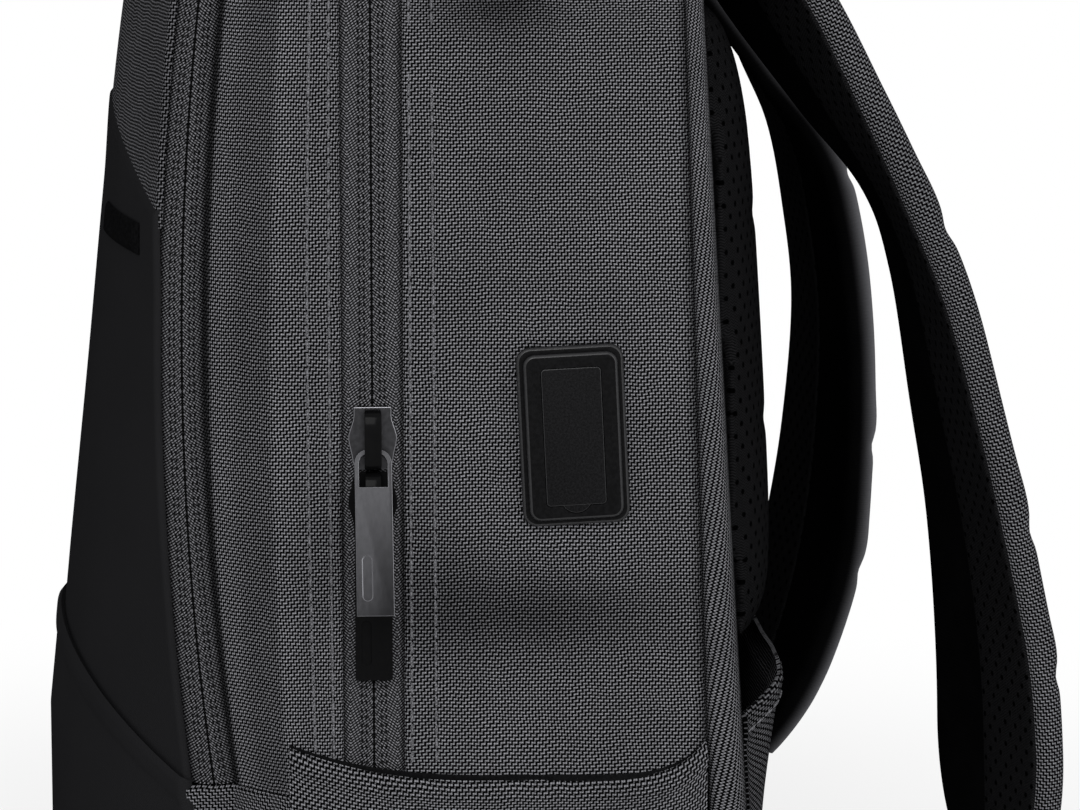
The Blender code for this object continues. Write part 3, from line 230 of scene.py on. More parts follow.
def out_of_bag(t, x, z, half_width, top, low):
    """Direction out of the bag on the way round it."""
    if z <= SHOULDER_Z:
        return Vector((1.0 if x > 0 else -1.0, 0.0, 0.0))
    ahead = round_the_bag(min(1.0, t + 0.002), half_width, top, low)
    behind = round_the_bag(max(0.0, t - 0.002), half_width, top, low)
    return Vector((ahead[1] - behind[1], 0.0, behind[0] - ahead[0])).normalized()


def pick(rows, share):
    """The row at a share of the way along a list, from 0 to 1."""
    return rows[round(share * (len(rows) - 1))]


def cloth_grid(cells, place, at, pattern=None, look_of=None):
    """Grid of cells laid on a surface, with a pattern map in metres.

    The map's lengths are measured along the two grid lines that cross at a chosen place."""
    bm = bmesh.new()
    bmesh.ops.create_grid(bm, x_segments=cells[0], y_segments=cells[1], size=0.5)
    lines = ([place(i / cells[0], at[1]) for i in range(cells[0] + 1)],
             [place(at[0], j / cells[1]) for j in range(cells[1] + 1)])
    runs = ([0.0], [0.0])
    for run, line in zip(runs, lines):
        for start, end in zip(line, line[1:]):
            run.append(run[-1] + (end - start).length)
    layer = bm.loops.layers.uv.new("cloth")
    for face in bm.faces:
        if look_of:
            face.material_index = look_of(face.calc_center_median().x + 0.5)
        for corner in face.loops:
            i = round((corner.vert.co.x + 0.5) * cells[0])
            j = round((corner.vert.co.y + 0.5) * cells[1])
            spot = (runs[0][i], runs[1][j])
            corner[layer].uv = pattern(i / cells[0], j / cells[1], spot) if pattern else spot
    for vert in bm.verts:
        vert.co = place(vert.co.x + 0.5, vert.co.y + 0.5)
    return bm


def lay_cloth(name, cells, place, inside, thickness, outward=False, pattern=None, hole=None, at=(0.5, 0.5)):
    """Cloth laid on a surface that faces away from a point inside, then given its thickness."""
    bm = cloth_grid(cells, place, at, pattern)
    if hole:
        gone = [face for face in bm.faces if hole(face.calc_center_median())]
        bmesh.ops.delete(bm, geom=gone, context="FACES")
    bmesh.ops.remove_doubles(bm, verts=bm.verts, dist=0.00002)
    bm.normal_update()
    lean = sum(f.normal.dot(f.calc_center_median() - inside) * f.calc_area() for f in bm.faces)
    if lean < 0:
        bmesh.ops.reverse_faces(bm, faces=bm.faces)
    bm.normal_update()
    bmesh.ops.solidify(bm, geom=bm.faces, thickness=-thickness if outward else thickness)
    return finish_mesh(name, bm)


def finish_mesh(name, bm, sharp=50.0):
    """Object from a bmesh, smooth but for its sharp edges."""
    bm.normal_update()
    for face in bm.faces:
        face.smooth = True
    for edge in bm.edges:
        edge.smooth = len(edge.link_faces) == 2 and edge.calc_face_angle(0.0) < radians(sharp)
    mesh = bpy.data.meshes.new(name)
    bm.to_mesh(mesh)
    bm.free()
    made = bpy.data.objects.new(name, mesh)
    bpy.context.scene.collection.objects.link(made)
    return made


def fit(made, looks, body, slot, *nodes):
    """Dress a piece, hang it on its body and let it stand for its solids."""
    for look in looks if isinstance(looks, (list, tuple)) else (looks,):
        made.data.materials.append(look)
    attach(made, body)
    if nodes:
        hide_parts(*nodes)
    return made


def speckle(tree, scale, detail=2.0, stretch=(1.0, 1.0, 1.0)):
    """Cloudy noise over the object, from 0 to 1, finer with a larger scale per metre."""
    made = tree.nodes.new("ShaderNodeTexNoise")
    made.inputs["Scale"].default_value = scale
    made.inputs["Detail"].default_value = detail
    spread = tree.nodes.new("ShaderNodeMapping")
    spread.inputs["Scale"].default_value = stretch
    tree.links.new(tree.nodes.new("ShaderNodeTexCoord").outputs["Object"], spread.inputs["Vector"])
    tree.links.new(spread.outputs["Vector"], made.inputs["Vector"])
    return Pattern(tree, made.outputs["Fac"])


def split_up(tree, socket):
    """The three parts of a place, each as a pattern."""
    parts = tree.nodes.new("ShaderNodeSeparateXYZ")
    tree.links.new(socket, parts.inputs["Vector"])
    return [Pattern(tree, part) for part in parts.outputs]


def cloth_lines(tree):
    """The two directions of a cloth's own pattern map, in metres."""
    source = tree.nodes.new("ShaderNodeUVMap")
    source.uv_map = "cloth"
    return split_up(tree, source.outputs["UV"])[:2]


def object_place(tree):
    """The place on the object, as patterns along X, Y and Z."""
    return split_up(tree, tree.nodes.new("ShaderNodeTexCoord").outputs["Object"])


def new_look(name, roughness, metallic=0.0, specular=0.08):
    """Material with its even values set on the shader itself."""
    made = bpy.data.materials.new(name)
    made.use_nodes = True
    shader = made.node_tree.nodes["Principled BSDF"]
    for label, value in (("Roughness", roughness), ("Metallic", metallic), ("Specular IOR Level", specular)):
        shader.inputs[label].default_value = value
    return made, made.node_tree, shader


def tint(shader, share, dark, pale):
    """Colour between two by a pattern."""
    made = share.tree.nodes.new("ShaderNodeMix")
    made.data_type = "RGBA"
    made.inputs["A"].default_value = (*dark, 1.0)
    made.inputs["B"].default_value = (*pale, 1.0)
    share.feed(made.inputs["Factor"])
    share.tree.links.new(made.outputs["Result"], shader.inputs["Base Color"])


def emboss(shader, height, distance, strength):
    """Fine relief from a pattern, its height in metres."""
    made = height.tree.nodes.new("ShaderNodeBump")
    made.inputs["Strength"].default_value = strength
    made.inputs["Distance"].default_value = distance
    height.feed(made.inputs["Height"])
    height.tree.links.new(made.outputs["Normal"], shader.inputs["Normal"])


def grey(level):
    """The bag's neutral grey, a touch cool."""
    return level, level, level * 1.07


def weave_look(name, dark, pale, shade=None):
    """Two-tone ballistic nylon: pale dashes laid like bricks over dark threads, each hooked to the row above.

    A painted shade, from 0 to 1, darkens pale threads where the cloth is drawn in or turned from the light."""
    made, tree, shader = new_look(name, 0.9, specular=0.0)
    u, v = cloth_lines(tree)
    wander = (speckle(tree, 90.0, 2.0) - 0.5) * 0.0016
    across = (u + wander) * (pi / THREAD_ACROSS)
    up = (v + wander) * (pi / THREAD_UP)
    row = calc("SINE", up)
    bend = calc("COSINE", across)
    brick = calc("SINE", across) * calc("SIGN", row)
    dash = brick.ramp(-0.80, -0.20)
    line = abs(row).ramp(0.55, 0.98)
    turn = bend * calc("COSINE", up)
    hook = turn.ramp(0.60, 0.98, 0.0, 0.45)
    over = calc("MAXIMUM", dash * line, hook)
    bulge = abs(bend).ramp(0.0, 1.0, 0.5, 1.0)
    over = over * bulge
    uneven = speckle(tree, 1400.0, 1.0).ramp(0.25, 0.75, 0.60, 1.0)
    cloud = speckle(tree, 26.0, 3.0).ramp(0.3, 0.7, 0.86, 1.0)
    share = over * uneven * cloud
    if shade:
        share = share * shade(tree, u, v)
    tint(shader, share, grey(dark), grey(pale))
    emboss(shader, over, 0.00022, 0.8)
    return made


# Depth, then place and reach along Y and Z of the near side's patches of painted shade: in the gathered
# fold, in the hollow under the port and beside the stitching.
FOLD_SHADE_PATCHES = ((0.62, 0.0190, 0.0175, 0.3400, 0.0115), (0.50, 0.0310, 0.0430, 0.1510, 0.0130),
        (0.30, 0.0000, 0.0150, 0.1580, 0.0200))


def shell_shade(tree, u, v):
    """Painted shade: darker in the near side's folds, and in the valley of the rear seam."""
    x, y, z = object_place(tree)
    near = x.ramp(0.08, 0.12)
    shade = u.ramp(0.0865, 0.0908, 1.0, 0.40)
    for depth, y_middle, y_reach, z_middle, z_reach in FOLD_SHADE_PATCHES:
        y_off = (y - y_middle) / y_reach
        z_off = (z - z_middle) / z_reach
        fall = calc("EXPONENT", (y_off * y_off + z_off * z_off) * -1.0)
        shade = shade * (1.0 - fall * near * depth)
    return shade


WEAVE_DARK = 0.0015
WEAVE = weave_look("grey_ballistic_weave", WEAVE_DARK, 0.325)
SHELL_WEAVE = weave_look("side_ballistic_weave", WEAVE_DARK, 0.335, shell_shade)

rear_reach = [FOLD_ROUND * k / 6 for k in range(6)]
rear_reach += [FOLD_ROUND + 0.0006 * k for k in range(19)]
rear_reach += [0.0146 + 0.0022 * k for k in range(33)]
rear_reach += [0.0866 + 0.0006 * k for k in range(9)]


def rear_shell(t, reach):
    """Point of the shell at a distance back from the folded edge, before any slack."""
    x, z = round_the_bag(t, HALF_WIDTH, TOP_Z, SHELL_LOW_Z)
    out = out_of_bag(t, x, z, HALF_WIDTH, TOP_Z, SHELL_LOW_Z)
    front = MAIN_ZIP_Y + MAIN_FOLD
    rear = back_y(z) + 0.0006
    y = front + (rear - front) * reach / rear_reach[-1]
    sink = SEAM_ROUND * (1.0 - sqrt(1.0 - min(1.0, max(0.0, (y - rear) / SEAM_ROUND + 1.0)) ** 2))
    if reach < FOLD_ROUND:
        a = reach / FOLD_ROUND * pi / 2
        y = front + FOLD_ROUND * (1.0 - cos(a))
        sink = FOLD_ROUND * (1.0 - sin(a))
    for row in REAR_ROWS:
        sink += ROW_DEPTH * exp(-((y - front - row) / ROW_WIDTH) ** 2)
    return Vector((x, y, z)) - out * sink, out


# Depth, then place and reach along Y and Z: a gathered dip high on the near side with its lip, and the
# ridge and hollow of the slack under the port.
FOLDS = ((-0.0095, 0.021, 0.019, 0.3475, 0.0125), (0.0026, 0.020, 0.030, 0.3265, 0.0095),
         (0.0010, 0.042, 0.030, 0.1670, 0.0090), (-0.0014, 0.038, 0.034, 0.1500, 0.0100))
SOFT_WAVE = 0.0016
FINE_WAVE = 0.0007
LOW_WAVE = 0.0009


def slack(point, out):
    """How far the cloth stands off its plain surface: soft waves, and the gathered fold on the near side."""
    edge = ease((point.y - MAIN_ZIP_Y - MAIN_FOLD - 0.012) / 0.02) * ease((back_y(point.z) - point.y) / 0.02)
    port = TO_PORT @ point
    near_port = max(abs(port.y) / PORT_HALF[0], abs(port.z) / PORT_HALF[1])
    calm = ease((near_port - 1.0) / 0.6) if point.x > 0 else 1.0
    wave = noise.noise(Vector((point.x * 9.0, point.y * 13.0 + 4.0, point.z * 20.0))) * SOFT_WAVE
    wave += noise.noise(Vector((point.x * 12.0 + 7.0, point.y * 24.0, point.z * 48.0))) * FINE_WAVE
    low = ease((0.17 - point.z) / 0.05) * LOW_WAVE * sin(point.z * 190.0 + point.y * 30.0)
    moved = (wave + low) * edge * calm
    if point.x > 0.05:
        for depth, y, y_reach, z, z_reach in FOLDS:
            moved += depth * exp(-((point.y - y) / y_reach) ** 2 - ((point.z - z) / z_reach) ** 2)
    return out * moved


def rear_cloth(u, v):
    point, out = rear_shell(u, pick(rear_reach, v))
    return point + slack(point, out)


def in_port(point):
    spot = TO_PORT @ point
    return point.x > 0.1 and abs(spot.y) < COLLAR[0] / 2 + 0.001 and abs(spot.z) < COLLAR[1] / 2 + 0.001


BAG_MIDDLE = Vector((0.0, 0.02, 0.22))
rear_band = lay_cloth("rear_shell_cloth", (252, len(rear_reach) - 1), rear_cloth, BAG_MIDDLE, WALL,
                      pattern=lambda u, v, spot: (spot[1], spot[0]), hole=in_port, at=(0.11, 0.5))
fit(rear_band, SHELL_WEAVE, "rear_body", "grey_weave", "right_side_panel", "left_side_panel", "top_panel")

# Front gusset: the band of the same nylon that joins the main zip to the front pocket's zip.
# It runs flat beside the main zip, breaks over a soft crease and slopes in to the front.
FRONT_HALF_WIDTH = 0.134
FRONT_TOP_Z = 0.428
GUSSET_LOW_Z = 0.0949
POCKET_FOLD = 0.0065
CREASE_INSET = 0.0015
CREASE_SOFT = 0.004
FRONT_ROWS = (0.0037, 0.0104)
ARC_RADIUS = 1.0
ARC_Y = 0.922
ARC_Z = 0.225
TURN_SHARE = 0.965


def front_zip_y(z):
    """Line of the pocket zip, an arc that bows forward at mid height."""
    return ARC_Y - sqrt(ARC_RADIUS ** 2 - (z - ARC_Z) ** 2)


gusset_reach = [FOLD_ROUND * k / 6 for k in range(6)]
gusset_reach += [FOLD_ROUND + 0.0006 * k for k in range(19)]
gusset_reach += [0.0135 + 0.0012 * k for k in range(25)]
GUSSET_END = gusset_reach[-1]


def front_gusset(t, reach):
    """Point of the gusset at a distance ahead of its folded edge beside the main zip."""
    part = reach / GUSSET_END
    first = CREASE_INSET / HALF_WIDTH
    past = part * 2.0 - 1.0
    inset = first * min(1.0, part * 2.0) + (1.0 - first) * (past + sqrt(past * past + CREASE_SOFT)) / 2
    half_width = HALF_WIDTH + (FRONT_HALF_WIDTH - HALF_WIDTH) * inset
    top = TOP_Z + (FRONT_TOP_Z - TOP_Z) * inset
    x, z = round_the_bag(t, half_width, top, GUSSET_LOW_Z)
    out = out_of_bag(t, x, z, half_width, top, GUSSET_LOW_Z)
    start = MAIN_ZIP_Y - MAIN_FOLD
    run = front_zip_y(z) + POCKET_FOLD - start
    y = start + run * part
    sink = 0.0
    if reach < FOLD_ROUND:
        a = reach / FOLD_ROUND * pi / 2
        y = start + run * FOLD_ROUND / GUSSET_END * (1.0 - cos(a))
        sink = FOLD_ROUND * (1.0 - sin(a))
    if part > TURN_SHARE:
        sink += FOLD_ROUND * (1.0 - sqrt(max(0.0, 1.0 - ((part - TURN_SHARE) / (1.0 - TURN_SHARE)) ** 2)))
    for row in FRONT_ROWS:
        sink += ROW_DEPTH * exp(-((start - y - row) / ROW_WIDTH) ** 2)
    wave = noise.noise(Vector((x * 9.0 + 3.0, y * 20.0, z * 26.0))) * 0.0007
    wave *= ease((part - 0.3) / 0.15) * ease((1.0 - part) / 0.1)
    return Vector((x, y, z)) + out * (wave - sink), out


def gusset_cloth(u, v):
    return front_gusset(u, pick(gusset_reach, v))[0]


def gusset_shade(tree, u, v):
    """Painted shade: darker on the slope past the crease, and darkest where it turns under by the front zip.
    """
    ahead = u * -1.0
    # Painted highlight: the cloth just before the crease is made paler than the rest.
    crest_highlight = ahead.ramp(0.0120, 0.0205, 0.96, 1.10)
    slope = ahead.ramp(0.0215, 0.0240, 1.0, 0.73)
    rest = ahead.ramp(0.0330, 0.0430, 0.0, 0.25)
    turned = ahead.ramp(0.0458, 0.0482, 1.0, 0.15)
    shade = (slope + rest) * crest_highlight
    return shade * turned


GUSSET_WEAVE = weave_look("front_ballistic_weave", WEAVE_DARK, 0.335, gusset_shade)
front_band = lay_cloth("front_gusset_cloth", (252, len(gusset_reach) - 1), gusset_cloth, BAG_MIDDLE, WALL,
                       pattern=lambda u, v, spot: (-spot[1], spot[0]), at=(0.11, 0.5))
fit(front_band, GUSSET_WEAVE, "front_body", "grey_weave", "right_gusset", "left_gusset", "top_gusset")

# Topstitching beside the main zip: two rows of thick bonded thread on each side, sunk a little in the cloth.
# Each stitch is a short rounded length of thread that dips into the cloth at both ends.
STITCH_PITCH = 0.0043
STITCH_LENGTH = 0.0039
STITCH_WIDTH = 0.0009


def grained_look(name, roughness, grain, dark, pale, relief=None, patchy=False, **values):
    """Plain finish in two close greys, by noise of a scale and detail, with relief from finer noise."""
    made, tree, shader = new_look(name, roughness, **values)
    share = speckle(tree, *grain)
    tint(shader, share.ramp(0.3, 0.7) if patchy else share, grey(dark), grey(pale))
    if relief:
        scale, detail, distance, strength = relief
        emboss(shader, speckle(tree, scale, detail), distance, strength)
    return made


thread, tree, shader = new_look("grey_thread", 0.6, specular=0.03)
twist = calc("SINE", speckle(tree, 2600.0, 1.0) * 12.0)
tint(shader, twist.ramp(-1.0, 1.0), grey(0.06), grey(0.19))
black_thread = grained_look("black_thread", 0.55, (2600.0, 1.0), 0.006, 0.022, specular=0.03)

stitch_bm = bmesh.new()
bmesh.ops.create_uvsphere(stitch_bm, u_segments=6, v_segments=5, radius=0.5,
                          matrix=Matrix.Rotation(pi / 2, 4, "Y"))
one_stitch = bpy.data.meshes.new("one_stitch")
stitch_bm.to_mesh(one_stitch)
stitch_bm.free()


def sew(bm, line, pitch=STITCH_PITCH, length=STITCH_LENGTH, width=STITCH_WIDTH):
    """Stitches along a line of (point, outward) pairs."""
    wait = pitch / 2
    for (start, out), (end, _) in zip(line, line[1:]):
        span = (end - start).length
        at = wait
        while at < span:
            along = (end - start).normalized()
            side = along.cross(out).normalized()
            rise = side.cross(along)
            turn = Matrix((along * length, side * width, rise * width * 0.8)).transposed().to_4x4()
            place = Matrix.Translation(start.lerp(end, at / span) + out * width * 0.24) @ turn
            spare = one_stitch.copy()
            spare.transform(place)
            bm.from_mesh(spare)
            bpy.data.meshes.remove(spare)
            at += pitch
        wait = at - span


def rows_along(surface, reaches, low=0.0, high=1.0, count=240):
    """Lines for stitching along a band at fixed distances from its edge."""
    return [[surface(low + (high - low) * i / count, reach) for i in range(count + 1)] for reach in reaches]


for label, surface, rows, body in (("rear_zip_stitching", rear_shell, REAR_ROWS, "rear_body"),
                                   ("front_zip_stitching", front_gusset, FRONT_ROWS, "front_body")):
    bm = bmesh.new()
    for line in rows_along(surface, rows, 0.008, 0.992):
        sew(bm, line)
    fit(finish_mesh(label, bm), thread, body, "grey_weave")

# Zip tapes: woven herringbone tape, turned over at the split so that the coil lies on the inside.
# Two columns of coil stitching show as pairs of small dark dashes beside the split.
TAPE_T = 0.001
SPLIT = 0.0016
SPLIT_GAP = 0.0007
MAIN_TAPE = 0.0145
POCKET_TAPES = (("rear", 1, 0.0090, "front_body"), ("lid", -1, 0.0082, "pocket_lid"))
POCKET_DOME = 0.0010
HUMP = 0.0007
HUMP_AT = 0.0022
HUMP_REACH = 0.0017
LIP_DROP = 0.0009
LIP_REACH = 0.0007
TUCK = 0.0014
TUCK_REACH = 0.0022
ZIP_FACE = WALL + CLEAR
CHEVRON = 0.0069
TWILL = 0.00096
TWILL_LEAN = 0.75
CROSSING = (0.00114, 0.0029)
COIL_PITCH = 0.00238
COIL_ROWS = (0.0020, 0.0034)


def ripple(value, pitch):
    """Sine along a pattern, with one wave to a pitch."""
    return calc("SINE", value * (2 * pi / pitch))


def tape_look(name, shadow, least):
    """Herringbone with coil stitching, shadowed by the cloth's edge between two distances from the split."""
    made, tree, shader = new_look(name, 0.9, specular=0.0)
    along, off_split = cloth_lines(tree)
    wander = (speckle(tree, 150.0) - 0.5) * 0.0007
    along += wander
    fold = calc("PINGPONG", off_split, CHEVRON)
    lean = along + fold * TWILL_LEAN
    threads = ripple(lean, TWILL).ramp(-0.6, 0.9)
    steep = fold * (2 * pi / CROSSING[0]) - along * (2 * pi / CROSSING[1])
    dots = calc("SINE", steep).ramp(-0.9, 0.5, 0.22, 1.0)
    uneven = speckle(tree, 1500.0, 1.0).ramp(0.25, 0.75, 0.55, 1.0)
    threads = threads * dots * uneven
    beat = ripple(along, COIL_PITCH)
    gap = beat.ramp(-0.2, 0.2)
    for row in COIL_ROWS:
        near_row = abs(off_split - row)
        dash = near_row.ramp(0.00022, 0.00042, 0.95, 0.0) * gap
        threads = threads * (1.0 - dash)
    # Painted highlight: pale beads along the split, one to each turn of the coil.
    split_highlight = off_split.ramp(0.0002, 0.0006, 1.0, 0.0) * beat.ramp(0.55, 0.95)
    threads = calc("MAXIMUM", threads, split_highlight)
    threads = threads * off_split.ramp(*shadow, 1.0, least)
    tint(shader, threads, grey(0.003), grey(0.265))
    emboss(shader, threads, 0.0003, 0.7)
    return made


main_tape = tape_look("main_herringbone_tape", (0.0076, 0.0096), 0.30)
pocket_tape = tape_look("pocket_herringbone_tape", (0.0050, 0.0068), 0.15)

coil_look, tree, shader = new_look("black_coil", 0.5, specular=0.02)
along, _ = cloth_lines(tree)
turns = ripple(along, COIL_PITCH / 2)
tint(shader, turns.ramp(-1.0, 1.0), grey(0.0010), grey(0.0040))
emboss(shader, turns, 0.0002, 0.6)


def zip_tape(name, half_width, top, low, line, side, reach, body, fold, dome):
    """One half of a zip, from the split to under the cloth's edge: a low hump over its half of the coil, a
    dome where it bulges, and a dip where it goes under the cloth."""
    steps = [0.0, 0.0003, 0.0007, 0.0012, 0.0018, 0.0024, 0.0030, 0.0037, 0.0044]
    steps += [0.0050 + 0.0006 * k for k in range(1 + int((reach - 0.0050) / 0.0006))] + [reach]

    def place(u, v):
        off = pick(steps, v)
        rise = HUMP * exp(-((off - HUMP_AT) / HUMP_REACH) ** 2)
        rise -= LIP_DROP * max(0.0, 1.0 - off / LIP_REACH) ** 2
        rise += dome * max(0.0, 1.0 - (off / fold) ** 2) - TUCK * ease((off - fold + TUCK_REACH) / TUCK_REACH)
        inset = ZIP_FACE - rise
        x, z = round_the_bag(u, half_width - inset, top - inset, low)
        return Vector((x, line(z) + side * (SPLIT_GAP / 2 + off), z))
    made = lay_cloth(name, (216, len(steps) - 1), place, BAG_MIDDLE, TAPE_T,
                     pattern=lambda u, v, spot: (spot[0], pick(steps, v)))
    fit(made, pocket_tape if dome else main_tape, body, "zip_tape", name.replace("_cloth", ""))
    lead = -0.0005 if side > 0 else 0.0007

    def coil(u, v):
        inset = ZIP_FACE + TAPE_T - dome
        x, z = round_the_bag(u, half_width - inset, top - inset, low)
        return Vector((x, line(z) + side * (lead + (0.0024 - lead) * v), z))
    teeth = lay_cloth(name.replace("tape_cloth", "coil"), (216, 2), coil, BAG_MIDDLE, 0.0002)
    fit(teeth, coil_look, body, "zip_tape")


POCKET_HALF = FRONT_HALF_WIDTH - CLEAR
POCKET_TOP = FRONT_TOP_Z - CLEAR
for label, side, body in (("rear", 1, "rear_body"), ("front", -1, "front_body")):
    zip_tape("main_zip_" + label + "_tape_cloth", HALF_WIDTH, TOP_Z, GUSSET_LOW_Z, lambda z: MAIN_ZIP_Y, side,
             MAIN_TAPE, body, MAIN_FOLD, 0.0)
for label, side, reach, body in POCKET_TAPES:
    zip_tape("pocket_zip_" + label + "_tape_cloth", POCKET_HALF, POCKET_TOP, GUSSET_LOW_Z, front_zip_y, side,
             reach, body, POCKET_FOLD, POCKET_DOME)

# Zip sliders: cast shield-shaped plates on a short post, with a bent strap over the outer plate for the pull.
# The plates are satin gunmetal with a paler rim painted as a highlight, and the strap is polished black.
HALF_SHIELD = ((0.0058, 0.0097), (0.0058, 0.0072), (0.0060, 0.0056), (0.0067, 0.0034), (0.0074, 0.0012),
               (0.0075, -0.0002), (0.0072, -0.0020), (0.0066, -0.0045), (0.0061, -0.0075), (0.0053, -0.0097))
PLATE_T = 0.0015
BRIDGE_IN = 0.00465
BRIDGE_T = 0.0012
BRIDGE_WIDTH = 0.0049
MAIN_FACE_X = HALF_WIDTH - ZIP_FACE
UPPER_Z = 0.2068
LOWER_Z = 0.1866
POCKET_TURN = 0.035
POCKET_SLIDER_SCALE = 0.773

gunmetal, tree, shader = new_look("satin_gunmetal", 0.38, metallic=1.0)
brushed = speckle(tree, 900.0, 2.0, (1.0, 1.0, 0.06)).ramp(0.3, 0.7, -0.06, 0.06)
# Painted light: the gunmetal is paler towards the top of the pulls, as the light falls from above.
fade = object_place(tree)[2].ramp(0.150, 0.192, 0.05, 0.70)
tint(shader, fade + brushed, grey(0.014), grey(0.042))
speckle(tree, 900.0, 2.0).ramp(0.3, 0.7, 0.37, 0.41).feed(shader.inputs["Roughness"])
dark_cast = grained_look("dark_cast_metal", 0.42, (600.0, 3.0), 0.030, 0.042, (2600.0, 2.0, 0.00003, 0.4),
                         True, metallic=1.0)
# Painted highlight: a pale metal look for the rounded rims of the slider plates and pulls.
rim_highlight = grained_look("rim_highlight_gunmetal_rim", 0.30, (900.0, 2.0), 0.12, 0.20, metallic=1.0)
polished = grained_look("polished_black_metal", 0.16, (300.0, 2.0), 0.002, 0.004, specular=0.045)
# Painted shade: a near-black look for the lower slider and its pull, which are shaded below the upper pull.
shade_painted_black = grained_look("shade_painted_black_metal", 0.5, (700.0, 3.0), 0.002, 0.004, (3000.0, 2.0, 0.00004, 0.5),
                          specular=0.03)


def plate(outline, low, high, edge, segments=2, face_look=0, rim_look=0):
    """Flat plate: an outline in the local YZ plane, raised along local X, its rims rounded over."""
    bm = bmesh.new()
    face = bm.faces.new([bm.verts.new((low, y, z)) for y, z in outline])
    raised = bmesh.ops.extrude_face_region(bm, geom=[face])["geom"]
    top = [part for part in raised if isinstance(part, bmesh.types.BMVert)]
    bmesh.ops.translate(bm, verts=top, vec=(high - low, 0.0, 0.0))
    bmesh.ops.recalc_face_normals(bm, faces=bm.faces)
    for face in bm.faces:
        face.material_index = face_look
    if edge:
        rims = [e for e in bm.edges if abs(e.verts[0].co.x - e.verts[1].co.x) < 1e-7]
        done = bmesh.ops.bevel(bm, geom=rims, offset=edge, segments=segments, affect="EDGES", profile=0.5,
                               material=-1)
        for face in done["faces"]:
            face.material_index = rim_look
    return bm


def add_part(bm, part, place=None):
    """Join one part's mesh to another's, moved to its place."""
    if place is not None:
        bmesh.ops.transform(part, matrix=place, verts=part.verts)
    spare = bpy.data.meshes.new("spare")
    part.to_mesh(spare)
    part.free()
    bm.from_mesh(spare)
    bpy.data.meshes.remove(spare)


def rounded_rect(width, height, radius, steps=5):
    """Outline of a rectangle with round corners, centred on the origin."""
    points = []
    for k in range(4):
        cy = (width / 2 - radius) * (1 if k in (0, 3) else -1)
        cz = (height / 2 - radius) * (1 if k in (0, 1) else -1)
        for i in range(steps + 1):
            a = (k + i / steps) * pi / 2
            points.append((cy + radius * cos(a), cz + radius * sin(a)))
    return points


def bent_strap(flip):
    """The slider's bridge: a flat strap bent into a low arch."""
    bm = bmesh.new()
    bmesh.ops.create_grid(bm, x_segments=4, y_segments=28, size=0.5)
    for vert in bm.verts:
        a = (vert.co.y + 0.5) * pi
        lift = BRIDGE_IN * sin(a) ** 0.42 if sin(a) > 0.0 else 0.0
        run = abs(cos(a)) ** 0.8 * (1.0 if cos(a) >= 0.0 else -1.0)
        crown = 0.00025 * (1.0 - (2.0 * vert.co.x) ** 2)
        vert.co = (0.0010 + lift + crown, BRIDGE_WIDTH * vert.co.x, flip * (0.0082 * run - 0.0004))
    bm.normal_update()
    if sum(f.normal.x * f.calc_area() for f in bm.faces) < 0:
        bmesh.ops.reverse_faces(bm, faces=bm.faces)
    bm.normal_update()
    bmesh.ops.solidify(bm, geom=bm.faces, thickness=-BRIDGE_T)
    rims = [e for e in bm.edges if len(e.link_faces) == 2 and e.calc_face_angle(0.0) > radians(60)]
    bmesh.ops.bevel(bm, geom=rims, offset=0.0003, segments=2, affect="EDGES", profile=0.5, material=-1)
    for face in bm.faces:
        face.material_index = 2
    return bm


def zip_slider(name, scale, place, flip, looks):
    """Slider with its nose up (flip 1) or down (flip -1), standing on the zip's face."""
    half = [(y * scale, z) for y, z in HALF_SHIELD]
    outline = [(y, flip * z) for y, z in half + [(-y, z) for y, z in reversed(half)]]
    bm = plate(outline, CLEAR, CLEAR + PLATE_T, 0.0003, 2, 0, 1)
    inner = -TAPE_T - CLEAR
    add_part(bm, plate([(y * 0.9, z) for y, z in outline], inner - 0.0012, inner, 0.0002))
    post = [(y, flip * (z + 0.0044)) for y, z in rounded_rect(SPLIT - 2 * CLEAR, 0.0049, 0.0003)]
    add_part(bm, plate(post, inner - 0.0006, CLEAR + PLATE_T / 2, 0.0))
    add_part(bm, bent_strap(flip))
    bmesh.ops.transform(bm, matrix=place, verts=bm.verts)
    return fit(finish_mesh(name + "_cast", bm, 20.0), looks, name, "gunmetal", name)


metal_looks = (dark_cast, rim_highlight, polished)
shade_painted_looks = (shade_painted_black, shade_painted_black, polished)
UPPER_PLACE = Matrix.Translation((MAIN_FACE_X, MAIN_ZIP_Y, UPPER_Z))
LOWER_PLACE = Matrix.Translation((MAIN_FACE_X, MAIN_ZIP_Y, LOWER_Z))
POCKET_PLACE = (Matrix.Translation((0.0, ARC_Y, ARC_Z)) @ Matrix.Rotation(POCKET_TURN, 4, "X")
                @ Matrix.Translation((CLEAR + ZIP_FACE - FRONT_HALF_WIDTH, -ARC_RADIUS, 0.0))
                @ Matrix.Rotation(pi, 4, "Z"))
zip_slider("main_slider_upper", 1.0, UPPER_PLACE, 1, metal_looks)
zip_slider("main_slider_lower", 1.0, LOWER_PLACE, -1, shade_painted_looks)
zip_slider("pocket_slider", POCKET_SLIDER_SCALE, POCKET_PLACE, 1, metal_looks)

# Zip pulls: a flat bar stamped in one piece with a round-topped loop that hangs on the slider's strap.
# The bar has a paler rim painted as a highlight, and a plain round-ended recess near its foot.
PULL_LENGTH = 0.0515
PULL_WIDTH = 0.0114
PULL_T = 0.0016
PULL_BAR = 0.0014
PULL_ROUND = 0.0042
LOOP_LENGTH = 0.0110
LOOP_ROUND = 0.0032
LOOP_WIRE = 0.0013
RECESS = (0.0030, 0.0140, 0.00149)
RECESS_AT = (0.0023, 0.0391)
RECESS_DEPTH = 0.0004
PULL_AXIS = Vector((0.00325, 0.0, -0.00407))


